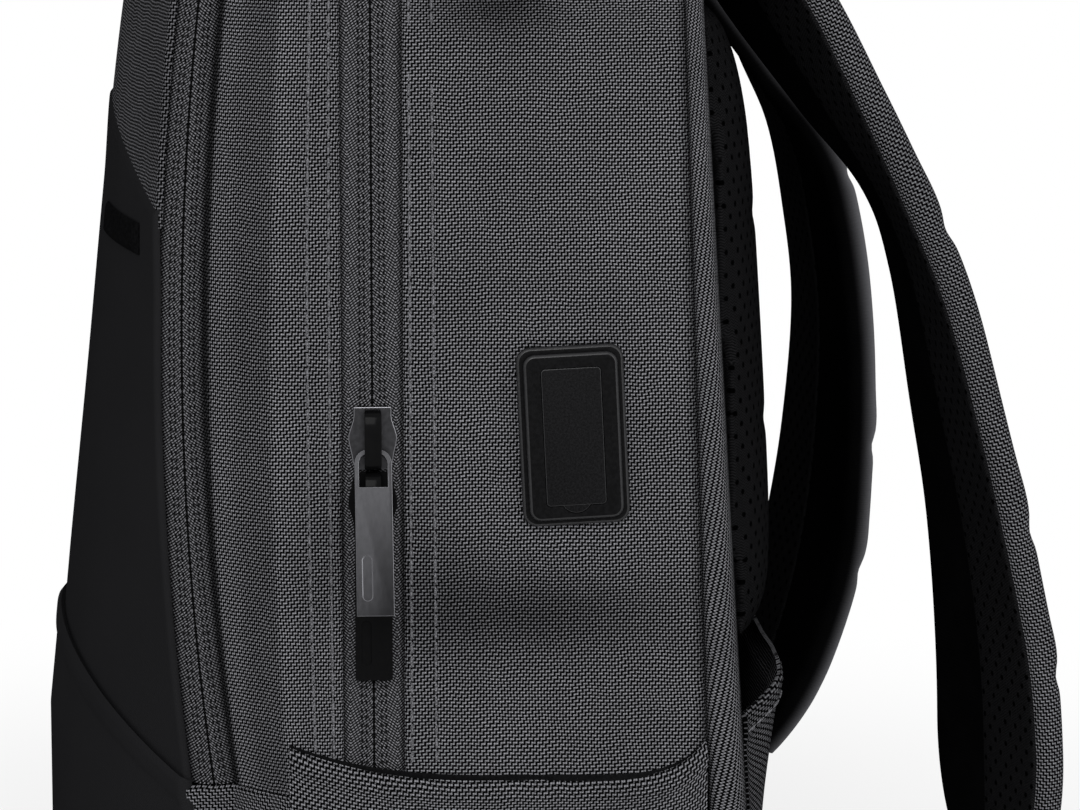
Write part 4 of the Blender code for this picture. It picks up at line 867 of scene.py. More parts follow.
def settle_modifiers(made):
    """Turn what the modifiers make into the piece's own mesh."""
    bpy.context.view_layer.update()
    whole = bpy.data.meshes.new_from_object(made.evaluated_get(bpy.context.evaluated_depsgraph_get()))
    made.modifiers.clear()
    made.data = whole


def carve(made, cutters, edge=0.0, segments=2, joins=()):
    """Join shapes to a piece, cut others out of it, soften the edges, and make it one plain mesh."""
    tools = []
    for operation, shape in [("UNION", part) for part in joins] + [("DIFFERENCE", part) for part in cutters]:
        tool = finish_mesh("cutter", shape)
        tools.append(tool)
        step = made.modifiers.new("cut", "BOOLEAN")
        step.operation = operation
        step.solver = "EXACT"
        step.object = tool
    if edge:
        step = made.modifiers.new("edge", "BEVEL")
        step.width = edge
        step.segments = segments
        step.limit_method = "ANGLE"
        step.angle_limit = radians(40)
    settle_modifiers(made)
    for tool in tools:
        bpy.data.objects.remove(tool, do_unlink=True)
    return made


def zip_pull(name, place, lean, looks, slot):
    """Pull hung at its place on a slider, leaning out from the zip by an angle."""
    foot = PULL_BAR / 2 - PULL_LENGTH
    half = PULL_WIDTH / 2
    corner = [(1.0 - cos(a * pi / 12), sin(a * pi / 12)) for a in range(7)]
    outline = [(half, foot), (half, -0.0040)]
    outline += [(half - PULL_ROUND * y, PULL_BAR / 2 - PULL_ROUND * (1.0 - z)) for y, z in corner]
    outline += [(-y, z) for y, z in reversed(outline)]
    made = finish_mesh(name + "_stamped", plate(outline, -PULL_T / 2, PULL_T / 2, 0.0), 35.0)
    inner = half - LOOP_WIRE
    window = [(inner, -LOOP_LENGTH), (inner, -0.0042)]
    window += [(inner - LOOP_ROUND * y, -0.0038 + LOOP_ROUND * z) for y, z in corner]
    window += [(-y, z) for y, z in reversed(window)]
    recess = [(y - RECESS_AT[0], z - RECESS_AT[1]) for y, z in rounded_rect(*RECESS)]
    carve(made, [plate(window, -PULL_T, PULL_T, 0.0), plate(recess, PULL_T / 2 - RECESS_DEPTH, PULL_T, 0.0)],
          0.00022)
    made.data.materials.clear()
    bm = bmesh.new()
    bm.from_mesh(made.data)
    bm.normal_update()
    # Painted highlight: the bevels on the pull's outer face take the paler rim look.
    for face in bm.faces:
        facing = abs(face.normal.x)
        face.material_index = 1 if 0.15 < facing < 0.97 and face.calc_center_median().x > 0 else 0
        face.smooth = True
    turn = place @ Matrix.Translation(PULL_AXIS) @ Matrix.Rotation(-lean, 4, "Y")
    bmesh.ops.transform(bm, matrix=turn, verts=bm.verts)
    bm.to_mesh(made.data)
    bm.free()
    made.data.set_sharp_from_angle(angle=radians(20))
    return fit(made, looks, name, slot, name)


zip_pull("main_pull_upper", UPPER_PLACE, radians(21.0), (gunmetal, rim_highlight), "gunmetal")
# Painted shade: the lower pull takes the near-black look for the shade it hangs in.
zip_pull("main_pull_lower", LOWER_PLACE, 0.0, (shade_painted_black, shade_painted_black), "black_plastic")
zip_pull("pocket_pull", POCKET_PLACE, 0.0, (gunmetal, rim_highlight), "gunmetal")

# Front pocket: its back wall is lining cloth, and its lid has a black coated panel below a grey woven one.
# The black panel laps over the grey one with a turned edge, and the whole lid is crowned by what is behind.
LOW_SEAM_Z = 0.0960
LOW_SEAM_RISE = 0.0325
HIGH_SEAM_Z = 0.275
HIGH_SEAM_RISE = 0.026
LAP = 0.0009
LID_ROLL = 0.0016
LID_TURN = 1.9
BASE_RIM_Z = 0.0945
CROWN_Y = -0.118
CROWN_Z = 0.141
CROWN_LEAN = 0.107
CROWN_TOP_Z = 0.290
COATED_THREAD = 0.00095
LINING_THREAD = 0.0009

black_cloth, tree, shader = new_look("black_coated_cloth", 0.7, specular=0.0)
u, v = cloth_lines(tree)
fine = ripple(u, COATED_THREAD) * ripple(v, COATED_THREAD)
cloud = speckle(tree, 30.0, 4.0).ramp(0.25, 0.75, 0.35, 0.65)
mottle = fine * 0.35 + cloud
tint(shader, mottle, grey(0.0125), grey(0.0155))
emboss(shader, fine, 0.00006, 0.6)

lining_look, tree, shader = new_look("grey_lining", 0.9, specular=0.0)
u, v = cloth_lines(tree)
plain = (ripple(u, LINING_THREAD) * ripple(v, LINING_THREAD)).ramp(-1.0, 1.0)
cloud = speckle(tree, 40.0, 3.0).ramp(0.3, 0.7, 0.75, 1.0)
tint(shader, plain * cloud, grey(0.028), grey(0.085))
emboss(shader, plain, 0.00012, 0.6)


def front_half_width(z):
    if z <= SHOULDER_Z:
        return FRONT_HALF_WIDTH
    part = min(1.0, (z - SHOULDER_Z) / (FRONT_TOP_Z - SHOULDER_Z))
    return FRONT_HALF_WIDTH - CORNER_RUN + CORNER_RUN * sqrt(1.0 - part * part)


def front_y(x, z):
    """Crowned front face: highest along the middle, meeting the zip all round the edge."""
    edge = front_zip_y(z) - POCKET_FOLD - WALL - CLEAR
    crown = edge - (CROWN_Y + CROWN_LEAN * (z - CROWN_Z))
    if z > CROWN_TOP_Z:
        crown *= sqrt(1.0 - min(1.0, (z - CROWN_TOP_Z) / (FRONT_TOP_Z - CROWN_TOP_Z)) ** 2)
    share = min(1.0, abs(x) / front_half_width(z))
    return edge - crown * (1.0 - share ** 2.2)


def low_seam_z(x):
    return LOW_SEAM_Z + LOW_SEAM_RISE * (1.0 - (x / FRONT_HALF_WIDTH) ** 2)


def high_seam_z(x):
    return HIGH_SEAM_Z + HIGH_SEAM_RISE * (1.0 - (x / FRONT_HALF_WIDTH) ** 2)


def bunched(share):
    """From -1 to 1, with steps that bunch up towards both ends."""
    return sin((share - 0.5) * pi)


lid_columns = [(-1.0, 1.0 - k / 6) for k in range(6)]
lid_columns += [(bunched(k / 84), 0.0) for k in range(85)]
lid_columns += [(1.0, k / 6) for k in range(1, 7)]


def lid_skin(u, z, lift):
    """Point of the lid's skin at a height, lifted off the crown, with its side edges turned in by the zip."""
    share, roll = pick(lid_columns, u)
    x = (FRONT_HALF_WIDTH - LID_ROLL) * share
    seat = max(z, BASE_RIM_Z)
    point = Vector((x, front_y(x, seat) - lift, z))
    if roll:
        run = Vector((x, front_y(x, seat), z)) - Vector((x * 0.99, front_y(x * 0.99, seat), z))
        run.normalize()
        inward = Vector((-abs(run.y) * share, abs(run.x), 0.0))
        point += run * (LID_ROLL * sin(roll * LID_TURN)) + inward * (LID_ROLL * (1.0 - cos(roll * LID_TURN)))
    return point


def lid_x(u):
    return (FRONT_HALF_WIDTH - LID_ROLL) * pick(lid_columns, u)[0]


def lid_top_z(x, half_width=FRONT_HALF_WIDTH, top=FRONT_TOP_Z):
    reach = max(0.0, (abs(x) - half_width + CORNER_RUN) / CORNER_RUN)
    return SHOULDER_Z + (top - SHOULDER_Z) * sqrt(max(0.0, 1.0 - reach * reach))


def black_front(u, v):
    x = lid_x(u)
    low = low_seam_z(x) - 0.004
    high = high_seam_z(x)
    z = low + (high - low) * v
    lap = LAP * ease((z - high + 0.030) / 0.030) - 0.0012 * max(0.0, (z - high + 0.0012) / 0.0012) ** 2
    slack_here = noise.noise(Vector((x * 11.0, 2.0, z * 9.0))) * 0.0006 * (1.0 - (x / FRONT_HALF_WIDTH) ** 4)
    slack_here *= ease((z - low) / 0.03) * ease((high - z) / 0.03)
    return lid_skin(u, z, lap - slack_here)


def grey_front(u, v):
    x = lid_x(u)
    low = high_seam_z(x) - 0.006
    return lid_skin(u, low + (lid_top_z(x) - low) * v, 0.0)


def flat_front(place):
    """The cloth's pattern runs straight up the panel, round its crown and over its turned edges."""
    def spot(u, v, _):
        share, roll = pick(lid_columns, u)
        return lid_x(u) * 1.08 + share * roll * LID_TURN * LID_ROLL, place(u, v).z
    return spot


LID_CELLS = len(lid_columns) - 1
# Painted shade: the lid's grey panel is the same weave with its pale threads darker, as it is turned from the
# light.
SHADED_LID_WEAVE = weave_look("lid_ballistic_weave", WEAVE_DARK, 0.215)
fit(lay_cloth("front_panel_black_cloth", (LID_CELLS, 110), black_front, BAG_MIDDLE, WALL,
              pattern=flat_front(black_front)), black_cloth, "pocket_lid", "black_coated_cloth",
    "front_panel_black")
fit(lay_cloth("front_panel_grey_cloth", (LID_CELLS, 80), grey_front, BAG_MIDDLE, 0.0012,
              pattern=flat_front(grey_front)), SHADED_LID_WEAVE, "pocket_lid", "grey_weave", "front_panel_grey")

DIVIDER = (0.13836, 0.43195)


def divider(u, v):
    x = DIVIDER[0] * bunched(u)
    z = GUSSET_LOW_Z + (lid_top_z(x, DIVIDER[0], DIVIDER[1]) - GUSSET_LOW_Z) * v
    start = MAIN_ZIP_Y - MAIN_FOLD
    return Vector((x, start + (front_zip_y(z) + POCKET_FOLD - start) * 0.8, z))


fit(lay_cloth("pocket_divider_cloth", (40, 40), divider, BAG_MIDDLE, 0.002), lining_look, "front_body",
    "lining", "pocket_divider")

# Plain bar on the front: a short bar of matt moulded rubber with rounded edges.
# It is bonded flat to the black panel, under the panel's upper edge.
BAR_X = 0.087
BAR_Z = 0.2645
BAR_HALF_LENGTH = 0.031
BAR_HALF_HEIGHT = 0.0050
BAR_T = 0.0013
bar_look = grained_look("matt_moulded_rubber", 0.6, (900.0, 3.0), 0.0030, 0.0060,
                        (2400.0, 3.0, 0.00006, 0.55), True, specular=0.0)


def front_bar(u, v):
    x = BAR_X + BAR_HALF_LENGTH * (2 * u - 1)
    z = BAR_Z + BAR_HALF_HEIGHT * (2 * v - 1)
    lap = LAP * ease((z - high_seam_z(x) + 0.030) / 0.030)
    side = max(abs(2 * u - 1) ** 14, abs(2 * v - 1) ** 4)
    return Vector((x, front_y(x, z) - lap - 0.0004 - BAR_T * (1.0 - side), z))


fit(lay_cloth("front_bar_moulded", (40, 12), front_bar, BAG_MIDDLE, 0.0006), bar_look, "pocket_lid",
    "socket_rubber", "front_bar")

# Base: a woven tray with a rounded floor edge, and overlays sewn round it, black in front, grey at the sides.
# Each overlay stands proud of the shell above it with a turned, stitched lip.
BASE_ROUND = 0.024
BASE_FRONT_Y = -0.1246
BACK_RIM_Z = 0.030
TRAY_T = 0.003
OVERLAY_T = 0.0015
OVERLAY_LOW_Z = 0.026
SIDE_SEAM_Z = 0.0985
SIDE_SEAM_RISE = 0.0115


def base_outline():
    """Half plan of the base at its rim, from the middle of the back round to the middle of the front."""
    back = back_y(BASE_RIM_Z) - 0.0011
    turn = 0.005
    ahead = MAIN_ZIP_Y - MAIN_FOLD - back + turn
    half = [((HALF_WIDTH - turn) * k / 24, back) for k in range(24)]
    for i in range(7):
        a = i / 6 * pi / 2
        half.append((HALF_WIDTH - turn + turn * sin(a), back - turn + turn * cos(a)))
    half += [(HALF_WIDTH, back - turn + ahead * k / 24) for k in range(1, 25)]
    for k in range(1, 13):
        point = front_gusset(0.0, GUSSET_END * k / 12)[0]
        half.append((point.x, point.y))
    for k in range(41):
        x = FRONT_HALF_WIDTH * bunched(1.0 - k / 80)
        half.append((x, front_y(x, BASE_RIM_Z)))
    return half


half_plan = base_outline()
plan = half_plan + [(-x, y) for x, y in reversed(half_plan[1:-1])]
PLAN_MID_Y = (plan[0][1] + BASE_FRONT_Y) / 2
PLAN_HALF_DEPTH = (plan[0][1] - BASE_FRONT_Y) / 2
RIM_ROWS = (0.0, 0.4, 0.8, 0.91, 0.94, 0.97, 0.985, 0.992, 1.0)
TRAY_ROWS = 12 + len(RIM_ROWS) - 1


def base_tray(u, v):
    x, y = plan[round(u * len(plan)) % len(plan)]
    row = round(v * TRAY_ROWS)
    rim = BACK_RIM_Z if y > plan[0][1] - 0.003 else BASE_RIM_Z
    if row < 4:
        reach = row / 4 * 0.999
        inset, z = BASE_ROUND, 0.0
        x, y = x * reach, PLAN_MID_Y + (y - PLAN_MID_Y) * reach
    elif row <= 12:
        a = (row - 4) / 8 * pi / 2
        inset, z = BASE_ROUND * (1.0 - sin(a)), BASE_ROUND * (1.0 - cos(a))
    else:
        inset, z = 0.0, BASE_ROUND + (rim - BASE_ROUND) * RIM_ROWS[row - 12]
        if y < MAIN_ZIP_Y - 0.034:
            inset = -0.0008 * (ease((z - rim + 0.006) / 0.003) - 2.0 * ease((z - rim + 0.0012) / 0.0012))
    depth = (y - PLAN_MID_Y) * (1.0 - inset / PLAN_HALF_DEPTH)
    return Vector((x * (1.0 - inset / HALF_WIDTH), PLAN_MID_Y + depth, z))


tray = lay_cloth("base_tray_cloth", (len(plan), TRAY_ROWS), base_tray, Vector((0.0, PLAN_MID_Y, 0.2)), TRAY_T,
                 at=(0.25, 0.9))
fit(tray, WEAVE, "rear_body", "grey_weave", "base_tray")

board_look = grained_look("stiffener_board", 0.55, (220.0, 4.0), 0.014, 0.028, (1500.0, 2.0, 0.0001, 0.4),
                          True)


def dress_solid(label, look):
    """Give a CAD solid that shows as it is its own look."""
    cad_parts[label].data.materials.clear()
    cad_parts[label].data.materials.append(look)


dress_solid("base_board", board_look)
dress_solid("back_board", board_look)
SIDE_FRONT_Y = front_gusset(0.0, GUSSET_END / 2)[0].y
SIDE_BACK_Y = back_y(BASE_RIM_Z) - 0.0004
SEAM_SHADOW_WIDTH = 0.0028


def side_top_z(u):
    share = abs(2.0 * u - 1.0)
    return SIDE_SEAM_Z + SIDE_SEAM_RISE * (share ** 2.4 if u < 0.5 else share ** 7)


def side_overlay(side):
    """Grey overlay on one side of the base, with a turned lip along its top."""
    def place(u, v):
        y = SIDE_FRONT_Y + (SIDE_BACK_Y - SIDE_FRONT_Y) * u
        top = side_top_z(u)
        z = OVERLAY_LOW_Z + (top - OVERLAY_LOW_Z) * v
        lip = 0.0007 * ease((z - top + 0.007) / 0.003) - 0.0008 * max(0.0, (z - top + 0.001) / 0.001) ** 2
        puff = noise.noise(Vector((side * 3.0, y * 20.0, z * 30.0))) * 0.0005 * ease((top - z) / 0.02)
        return Vector((side * (HALF_WIDTH + CLEAR + lip + puff), y, z))
    return place


def seam_shadow_strip(side):
    """Painted shadow: a thin dark strip along the seam between the overlay's lip and the shell."""
    def place(u, v):
        y = SIDE_FRONT_Y + (SIDE_BACK_Y - SIDE_FRONT_Y) * u
        z = side_top_z(u) - 0.0003 + SEAM_SHADOW_WIDTH * v * (0.62 + 0.38 * sin(pi * u))
        point = Vector((side * HALF_WIDTH, y, z))
        return point + slack(point, Vector((side, 0.0, 0.0))) + Vector((side * 0.0002, 0.0, 0.0))
    return place


# Painted shadow along each base seam, laid as a near-black strip on the shell.
seam_shadow_look = grained_look("dark_seam_tape", 0.9, (1200.0, 2.0), 0.002, 0.009, specular=0.0)
for label, side in (("right", 1), ("left", -1)):
    fit(lay_cloth(label + "_base_overlay_cloth", (72, 60), side_overlay(side), BAG_MIDDLE, OVERLAY_T,
                  outward=True), WEAVE, "rear_body", "grey_weave", label + "_base_overlay")
for label, side in (("right", 1), ("left", -1)):
    fit(lay_cloth(label + "_base_seam_tape", (72, 3), seam_shadow_strip(side), BAG_MIDDLE, 0.0002, outward=True),
        seam_shadow_look, "rear_body", "grey_weave")


def front_overlay(u, v):
    top = low_seam_z(lid_x(u))
    z = OVERLAY_LOW_Z + (top - OVERLAY_LOW_Z) * v
    lip = 0.0008 * ease((z - top + 0.009) / 0.004) - 0.0010 * max(0.0, (z - top + 0.0012) / 0.0012) ** 2
    return lid_skin(u, z, CLEAR + lip)


fit(lay_cloth("front_base_overlay_cloth", (LID_CELLS, 72), front_overlay, BAG_MIDDLE, OVERLAY_T, outward=True,
              pattern=flat_front(front_overlay)), black_cloth, "rear_body", "black_coated_cloth",
    "front_base_overlay")

# Back panel: a padded panel with a grey woven edge strip, black spacer mesh on its face and lining inside.
# The strip is sewn to the shell along the rear seam, and the mesh to the strip along a rounded edge.
BACK_LOW_Z = 0.020
BACK_TURN = 0.025
EDGE_ROUND = 0.006
STRIP_BIAS = radians(32.0)
STRIP_FINE = 1.4
BACK_T = 0.0145
BACK_THINNING = 0.024
MESH_HOLES = (0.0064, 0.0072)
KNIT_PITCH = 0.0009
KNIT_FOLD = 0.0008


def rear_y(z):
    """Rear face of the back panel, which is thicker at the bottom."""
    return back_y(z) + BACK_T - BACK_THINNING * z


mesh_look, tree, shader = new_look("black_spacer_mesh", 0.9, specular=0.0)
u, v = cloth_lines(tree)
u += (speckle(tree, 180.0) - 0.5) * 0.0012
solid = 1.0 - (ripple(u, MESH_HOLES[0]) * ripple(v, MESH_HOLES[1])).ramp(0.62, 0.86)
knit = ripple(v + calc("PINGPONG", u, KNIT_FOLD), KNIT_PITCH).ramp(-1.0, 1.0, 0.25, 1.0)
fuzz = speckle(tree, 1500.0, 3.0).ramp(0.3, 0.7, 0.6, 1.0)
tint(shader, knit * fuzz * solid, grey(0.0006), grey(0.0150))
emboss(shader, knit * 0.3 + solid, 0.0007, 0.8)


def back_outline(inset):
    """Half outline (x, z) of the back panel from the middle of its foot to the middle of its top."""
    half_width = HALF_WIDTH - inset
    low = BACK_LOW_Z + inset
    half = [((half_width - BACK_TURN) * k / 20, low) for k in range(20)]
    for i in range(9):
        a = (i / 8 - 1.0) * pi / 2
        half.append((half_width - BACK_TURN + BACK_TURN * cos(a), low + BACK_TURN + BACK_TURN * sin(a)))
    half += [(half_width, low + BACK_TURN + (SHOULDER_Z - low - BACK_TURN) * k / 64) for k in range(1, 64)]
    half += [arch(k / 120, half_width, TOP_Z - inset) for k in range(61)]
    return half


def closed(half):
    return half + [(-x, z) for x, z in reversed(half[1:-1])]


edge_steps = [(SEAM_ROUND * (1.0 - sin(a * pi / 12)), 0.03 + 0.18 * (1.0 - cos(a * pi / 12)))
              for a in range(7)]
edge_steps += [(0.0, 0.14 * k) for k in range(2, 5)]
edge_steps += [(EDGE_ROUND * (1.0 - cos(a * pi / 16)), 0.56 + 0.44 * sin(a * pi / 16)) for a in range(1, 9)]
edge_steps += [(EDGE_ROUND + 0.006, 0.97)]
edge_loops = [closed(back_outline(inset)) for inset, _ in edge_steps]


def back_edge(u, v):
    step = round(v * (len(edge_steps) - 1))
    x, z = edge_loops[step][round(u * len(edge_loops[0])) % len(edge_loops[0])]
    return Vector((x, back_y(z) + (rear_y(z) - back_y(z)) * edge_steps[step][1], z))


def on_bias(across, up):
    """Cloth cut on the bias: its rows climb across the strip."""
    across, up = across * STRIP_FINE, up * STRIP_FINE
    return (across * cos(STRIP_BIAS) + up * sin(STRIP_BIAS), up * cos(STRIP_BIAS) - across * sin(STRIP_BIAS))


def strip_shade(tree, u, v):
    """Painted shade: darker in the seam's valley and where the strip turns to the rear."""
    across = u * (cos(STRIP_BIAS) / STRIP_FINE) - v * (sin(STRIP_BIAS) / STRIP_FINE)
    valley = across.ramp(0.0005, 0.0040, 0.35, 1.0)
    return valley * across.ramp(0.0060, 0.0150, 1.0, 0.30)


STRIP_WEAVE = weave_look("strip_ballistic_weave", WEAVE_DARK, 0.315, strip_shade)
strip = lay_cloth("back_edge_strip", (len(edge_loops[0]), len(edge_steps) - 1), back_edge,
                  Vector((0.0, back_y(0.22) + 0.006, 0.22)), 0.0008,
                  at=(0.3, 0.5), pattern=lambda u, v, spot: on_bias(spot[1], spot[0]))
fit(strip, STRIP_WEAVE, "rear_body", "grey_weave", "back_panel")


def back_half_width(z, inset):
    low = BACK_LOW_Z + inset
    half_width = HALF_WIDTH - inset
    if z < low + BACK_TURN:
        drop = min(BACK_TURN, low + BACK_TURN - z)
        return half_width - BACK_TURN + sqrt(BACK_TURN ** 2 - drop ** 2)
    if z > SHOULDER_Z:
        part = min(1.0, (z - SHOULDER_Z) / (TOP_Z - inset - SHOULDER_Z))
        return half_width - CORNER_RUN + CORNER_RUN * sqrt(1.0 - part * part)
    return half_width


def back_sheet(inset, y_of):
    low, high = BACK_LOW_Z + inset, TOP_Z - inset

    def place(u, v):
        z = (low + high) / 2 + (high - low) / 2 * bunched(v)
        return Vector((back_half_width(z, inset) * (2 * u - 1), y_of(z), z))
    return place


mesh_face = back_sheet(EDGE_ROUND - 0.001, lambda z: rear_y(z) + 0.0002)
fit(lay_cloth("back_mesh_face", (60, 120), mesh_face, Vector((0.0, -0.2, 0.22)), 0.0012,
              pattern=lambda u, v, spot: (mesh_face(u, v).x, mesh_face(u, v).z)), mesh_look, "rear_body",
    "black_mesh")
inner_face = back_sheet(0.004, lambda z: back_y(z) + 0.0006)
fit(lay_cloth("back_lining", (60, 120), inner_face, Vector((0.0, 0.4, 0.22)), 0.0008,
              pattern=lambda u, v, spot: (inner_face(u, v).x, inner_face(u, v).z)), lining_look, "rear_body",
    "lining")

# Back pads: two foam cushions under spacer mesh, sewn down round their edges and across two channels.
# They are blown up from a plain padded form, held at the seam, and the channels are then drawn in.
PAD_MIDDLE_X = 0.0765
PAD_HALF = 0.0625
PAD_LOW_Z = 0.136
PAD_TOP_Z = 0.336
PAD_CROWN = 0.0180
PAD_SWELL = 0.005
PAD_SEAM = 0.0016
PAD_PLAY = 0.0022
PAD_BACK = 0.0004
PAD_CELLS = (40, 56)
PAD_VOXEL = 0.004
BLOW_FORCE = 4.0
BLOW_FRAMES = 20
CHANNEL_PRESS = 0.035
CHANNEL_WIDTH = 0.035
CHANNELS = (-0.33, 0.33)


def pad_form(side):
    def place(u, v):
        up = bunched(v)
        across = bunched(u)
        z = (PAD_LOW_Z + PAD_TOP_Z) / 2 + (PAD_TOP_Z - PAD_LOW_Z) / 2 * up
        width = PAD_HALF * (1.0 - 0.16 * abs(up) ** 6)
        rise = (1.0 - abs(across) ** 3.5) * sqrt(max(0.0, 1.0 - abs(up) ** (5 if up > 0 else 9)))
        y = rear_y(z) + PAD_SEAM + (PAD_CROWN - PAD_PLAY) * rise
        return Vector((side * (PAD_MIDDLE_X + width * across), y, z))
    return place


def blow_up(made, held):
    """Cloth under light pressure for a short time, held at chosen points, its movement capped."""
    rest = [vert.co.copy() for vert in made.data.vertices]
    group = made.vertex_groups.new(name="held")
    group.add([i for i, point in enumerate(rest) if held(point)], 1.0, "REPLACE")
    cloth = made.modifiers.new("cloth", "CLOTH")
    cloth.settings.use_pressure = True
    cloth.settings.uniform_pressure_force = BLOW_FORCE
    cloth.settings.effector_weights.gravity = 0.0
    cloth.settings.vertex_group_mass = "held"
    cloth.point_cache.frame_start = 1
    cloth.point_cache.frame_end = BLOW_FRAMES
    for count in range(1, BLOW_FRAMES + 1):
        bpy.context.scene.frame_set(count)
    blown = made.evaluated_get(bpy.context.evaluated_depsgraph_get()).data
    moved = [blown.vertices[i].co - rest[i] for i in range(len(rest))]
    made.modifiers.clear()
    made.vertex_groups.clear()
    for vert, step, start in zip(made.data.vertices, moved, rest):
        vert.co = start + step * min(1.0, PAD_SWELL / max(step.length, 1e-6))
    bpy.context.scene.frame_set(1)


def back_pad(label, side):
    """One cushion: a closed padded form, blown up, drawn in at its channels and mapped for its mesh."""
    place = pad_form(side)
    bm = bmesh.new()
    bmesh.ops.create_grid(bm, x_segments=PAD_CELLS[0], y_segments=PAD_CELLS[1], size=0.5)
    for vert in bm.verts:
        vert.co = place(vert.co.x + 0.5, vert.co.y + 0.5)
    skin = bmesh.ops.extrude_face_region(bm, geom=list(bm.faces), use_keep_orig=True)["geom"]
    for part in skin:
        if isinstance(part, bmesh.types.BMVert):
            part.co.y = rear_y(part.co.z) + PAD_BACK
    bmesh.ops.recalc_face_normals(bm, faces=bm.faces)
    made = finish_mesh(label + "_back_pad_cushion", bm)
    shrink = made.modifiers.new("even", "REMESH")
    shrink.mode = "VOXEL"
    shrink.voxel_size = PAD_VOXEL
    settle_modifiers(made)
    blow_up(made, lambda point: point.y < rear_y(point.z) + PAD_PLAY)
    bm = bmesh.new()
    bm.from_mesh(made.data)
    bmesh.ops.subdivide_edges(bm, edges=bm.edges, cuts=1, smooth=0.6, use_grid_fill=True)
    layer = bm.loops.layers.uv.verify()
    for vert in bm.verts:
        share = (vert.co.z - PAD_LOW_Z) / (PAD_TOP_Z - PAD_LOW_Z) * 2.0 - 1.0
        base = rear_y(vert.co.z) + PAD_BACK
        across = min(1.0, abs(abs(vert.co.x) - PAD_MIDDLE_X) / PAD_HALF)
        press = sum(CHANNEL_PRESS * exp(-((share - channel) / CHANNEL_WIDTH) ** 2) for channel in CHANNELS)
        press *= 1.0 - across ** 4
        vert.co.y = max(base, base + (vert.co.y - base) * (1.0 - press))
        vert.co.y = min(vert.co.y, base + PAD_CROWN + 0.001)
    for face in bm.faces:
        for corner in face.loops:
            corner[layer].uv = (corner.vert.co.x, corner.vert.co.z)
        face.smooth = True
    bm.to_mesh(made.data)
    bm.free()
    made.data.uv_layers[0].name = "cloth"
    made.data.materials.clear()
    fit(made, mesh_look, "rear_body", "black_mesh", label + "_back_pad")


back_pad("right", 1)
back_pad("left", -1)

# Trolley band: a woven band across the lower back, sewn down at its ends and open for a suitcase handle.
# Both long edges are hemmed, with a row of stitching inside each hem.
BAND_LOW_Z = 0.048
BAND_TOP_Z = 0.1305
BAND_END_DROP = 0.014
BAND_HALF_WIDTH = 0.143
BAND_RISE = 0.0140
BAND_FOOT_SHARE = 0.22
HEM = 0.009


def trolley_band(u, v):
    across = bunched(u)
    top = BAND_TOP_Z - BAND_END_DROP * (1.0 - ease((1.0 - abs(across)) / 0.14))
    z = BAND_LOW_Z + (top - BAND_LOW_Z) * v
    lift = BAND_RISE * (BAND_FOOT_SHARE + (1.0 - BAND_FOOT_SHARE) * v ** 1.8)
    lift *= ease((1.0 - abs(across)) / 0.10)
    edge = min(z - BAND_LOW_Z, top - z)
    hem = 0.0007 * ease((HEM - edge) / 0.002) - 0.0009 * max(0.0, 1.0 - edge / 0.0012) ** 2
    sag = 0.0010 * sin(v * pi) * (1.0 - abs(across))
    sag -= 0.0006 * noise.noise(Vector((across * 6.0, 1.0, z * 30.0)))
    y = rear_y(z) + CLEAR + lift + hem - sag * min(1.0, lift / 0.008)
    return Vector((BAND_HALF_WIDTH * across, y, z))


# Painted shade: the band is the same weave with its pale threads darker, for the shade low on the back.
SHADED_BAND_WEAVE = weave_look("band_ballistic_weave", WEAVE_DARK, 0.17)
fit(lay_cloth("trolley_band_cloth", (80, 60), trolley_band, BAG_MIDDLE, 0.0012, outward=True), SHADED_BAND_WEAVE,
    "rear_body", "grey_weave", "trolley_band")


def surface_line(place, fixed, along, count=120, low=0.0, high=1.0):
    """Line of (point, outward) pairs on a surface, with one share fixed and the other running."""
    line = []
    for i in range(count + 1):
        at = low + (high - low) * i / count
        spots = [(fixed, at), (fixed, min(1.0, at + 0.002)), (min(1.0, fixed + 0.002), at)]
        here, ahead, aside = [place(*(spot if along == "v" else spot[::-1])) for spot in spots]
        out = (ahead - here).cross(aside - here)
        if out.length > 1e-12:
            out.normalize()
            line.append((here, out if out.dot(here - BAG_MIDDLE) > 0 else -out))
    return line


bm = bmesh.new()
for share in (0.085, 0.915):
    band_line = surface_line(trolley_band, share, "u", 160, 0.02, 0.98)
    sew(bm, [(point + out * 0.0012, out) for point, out in band_line])
fit(finish_mesh("trolley_band_stitching", bm), thread, "rear_body", "grey_weave")

# Pockets inside: a padded laptop sleeve on the back wall and a small pocket for a power bank by the port.
# Both are lining cloth, open at the top with a turned hem.
SLEEVE_HALF = 0.122
SLEEVE_LOW_Z = 0.034
SLEEVE_HEIGHT = 0.301
SLEEVE_DEPTH = 0.028
SLEEVE_T = 0.003
BANK_Y = 0.040
BANK_HALF = 0.036
BANK_LOW_Z = 0.100
BANK_HEIGHT = 0.066
BANK_DEPTH = 0.016
BANK_T = 0.001


def pouch(u, v, depth, end, foot):
    """Place across a patch pocket, up it, and how far it stands off its wall past its sewn ends and foot."""
    across = bunched(u)
    up = v ** 1.5
    return across, up, depth * ease((1.0 - abs(across)) / end) * ease(up / foot)


def laptop_sleeve(u, v):
    across, up, lift = pouch(u, v, SLEEVE_DEPTH, 0.09, 0.05)
    z = SLEEVE_LOW_Z + SLEEVE_HEIGHT * up
    return Vector((SLEEVE_HALF * across, back_y(z) - CLEAR - lift, z))


def bank_pocket(u, v):
    across, up, lift = pouch(u, v, BANK_DEPTH, 0.16, 0.16)
    x = HALF_WIDTH - WALL - CLEAR - lift
    return Vector((x, BANK_Y + BANK_HALF * across, BANK_LOW_Z + BANK_HEIGHT * up))


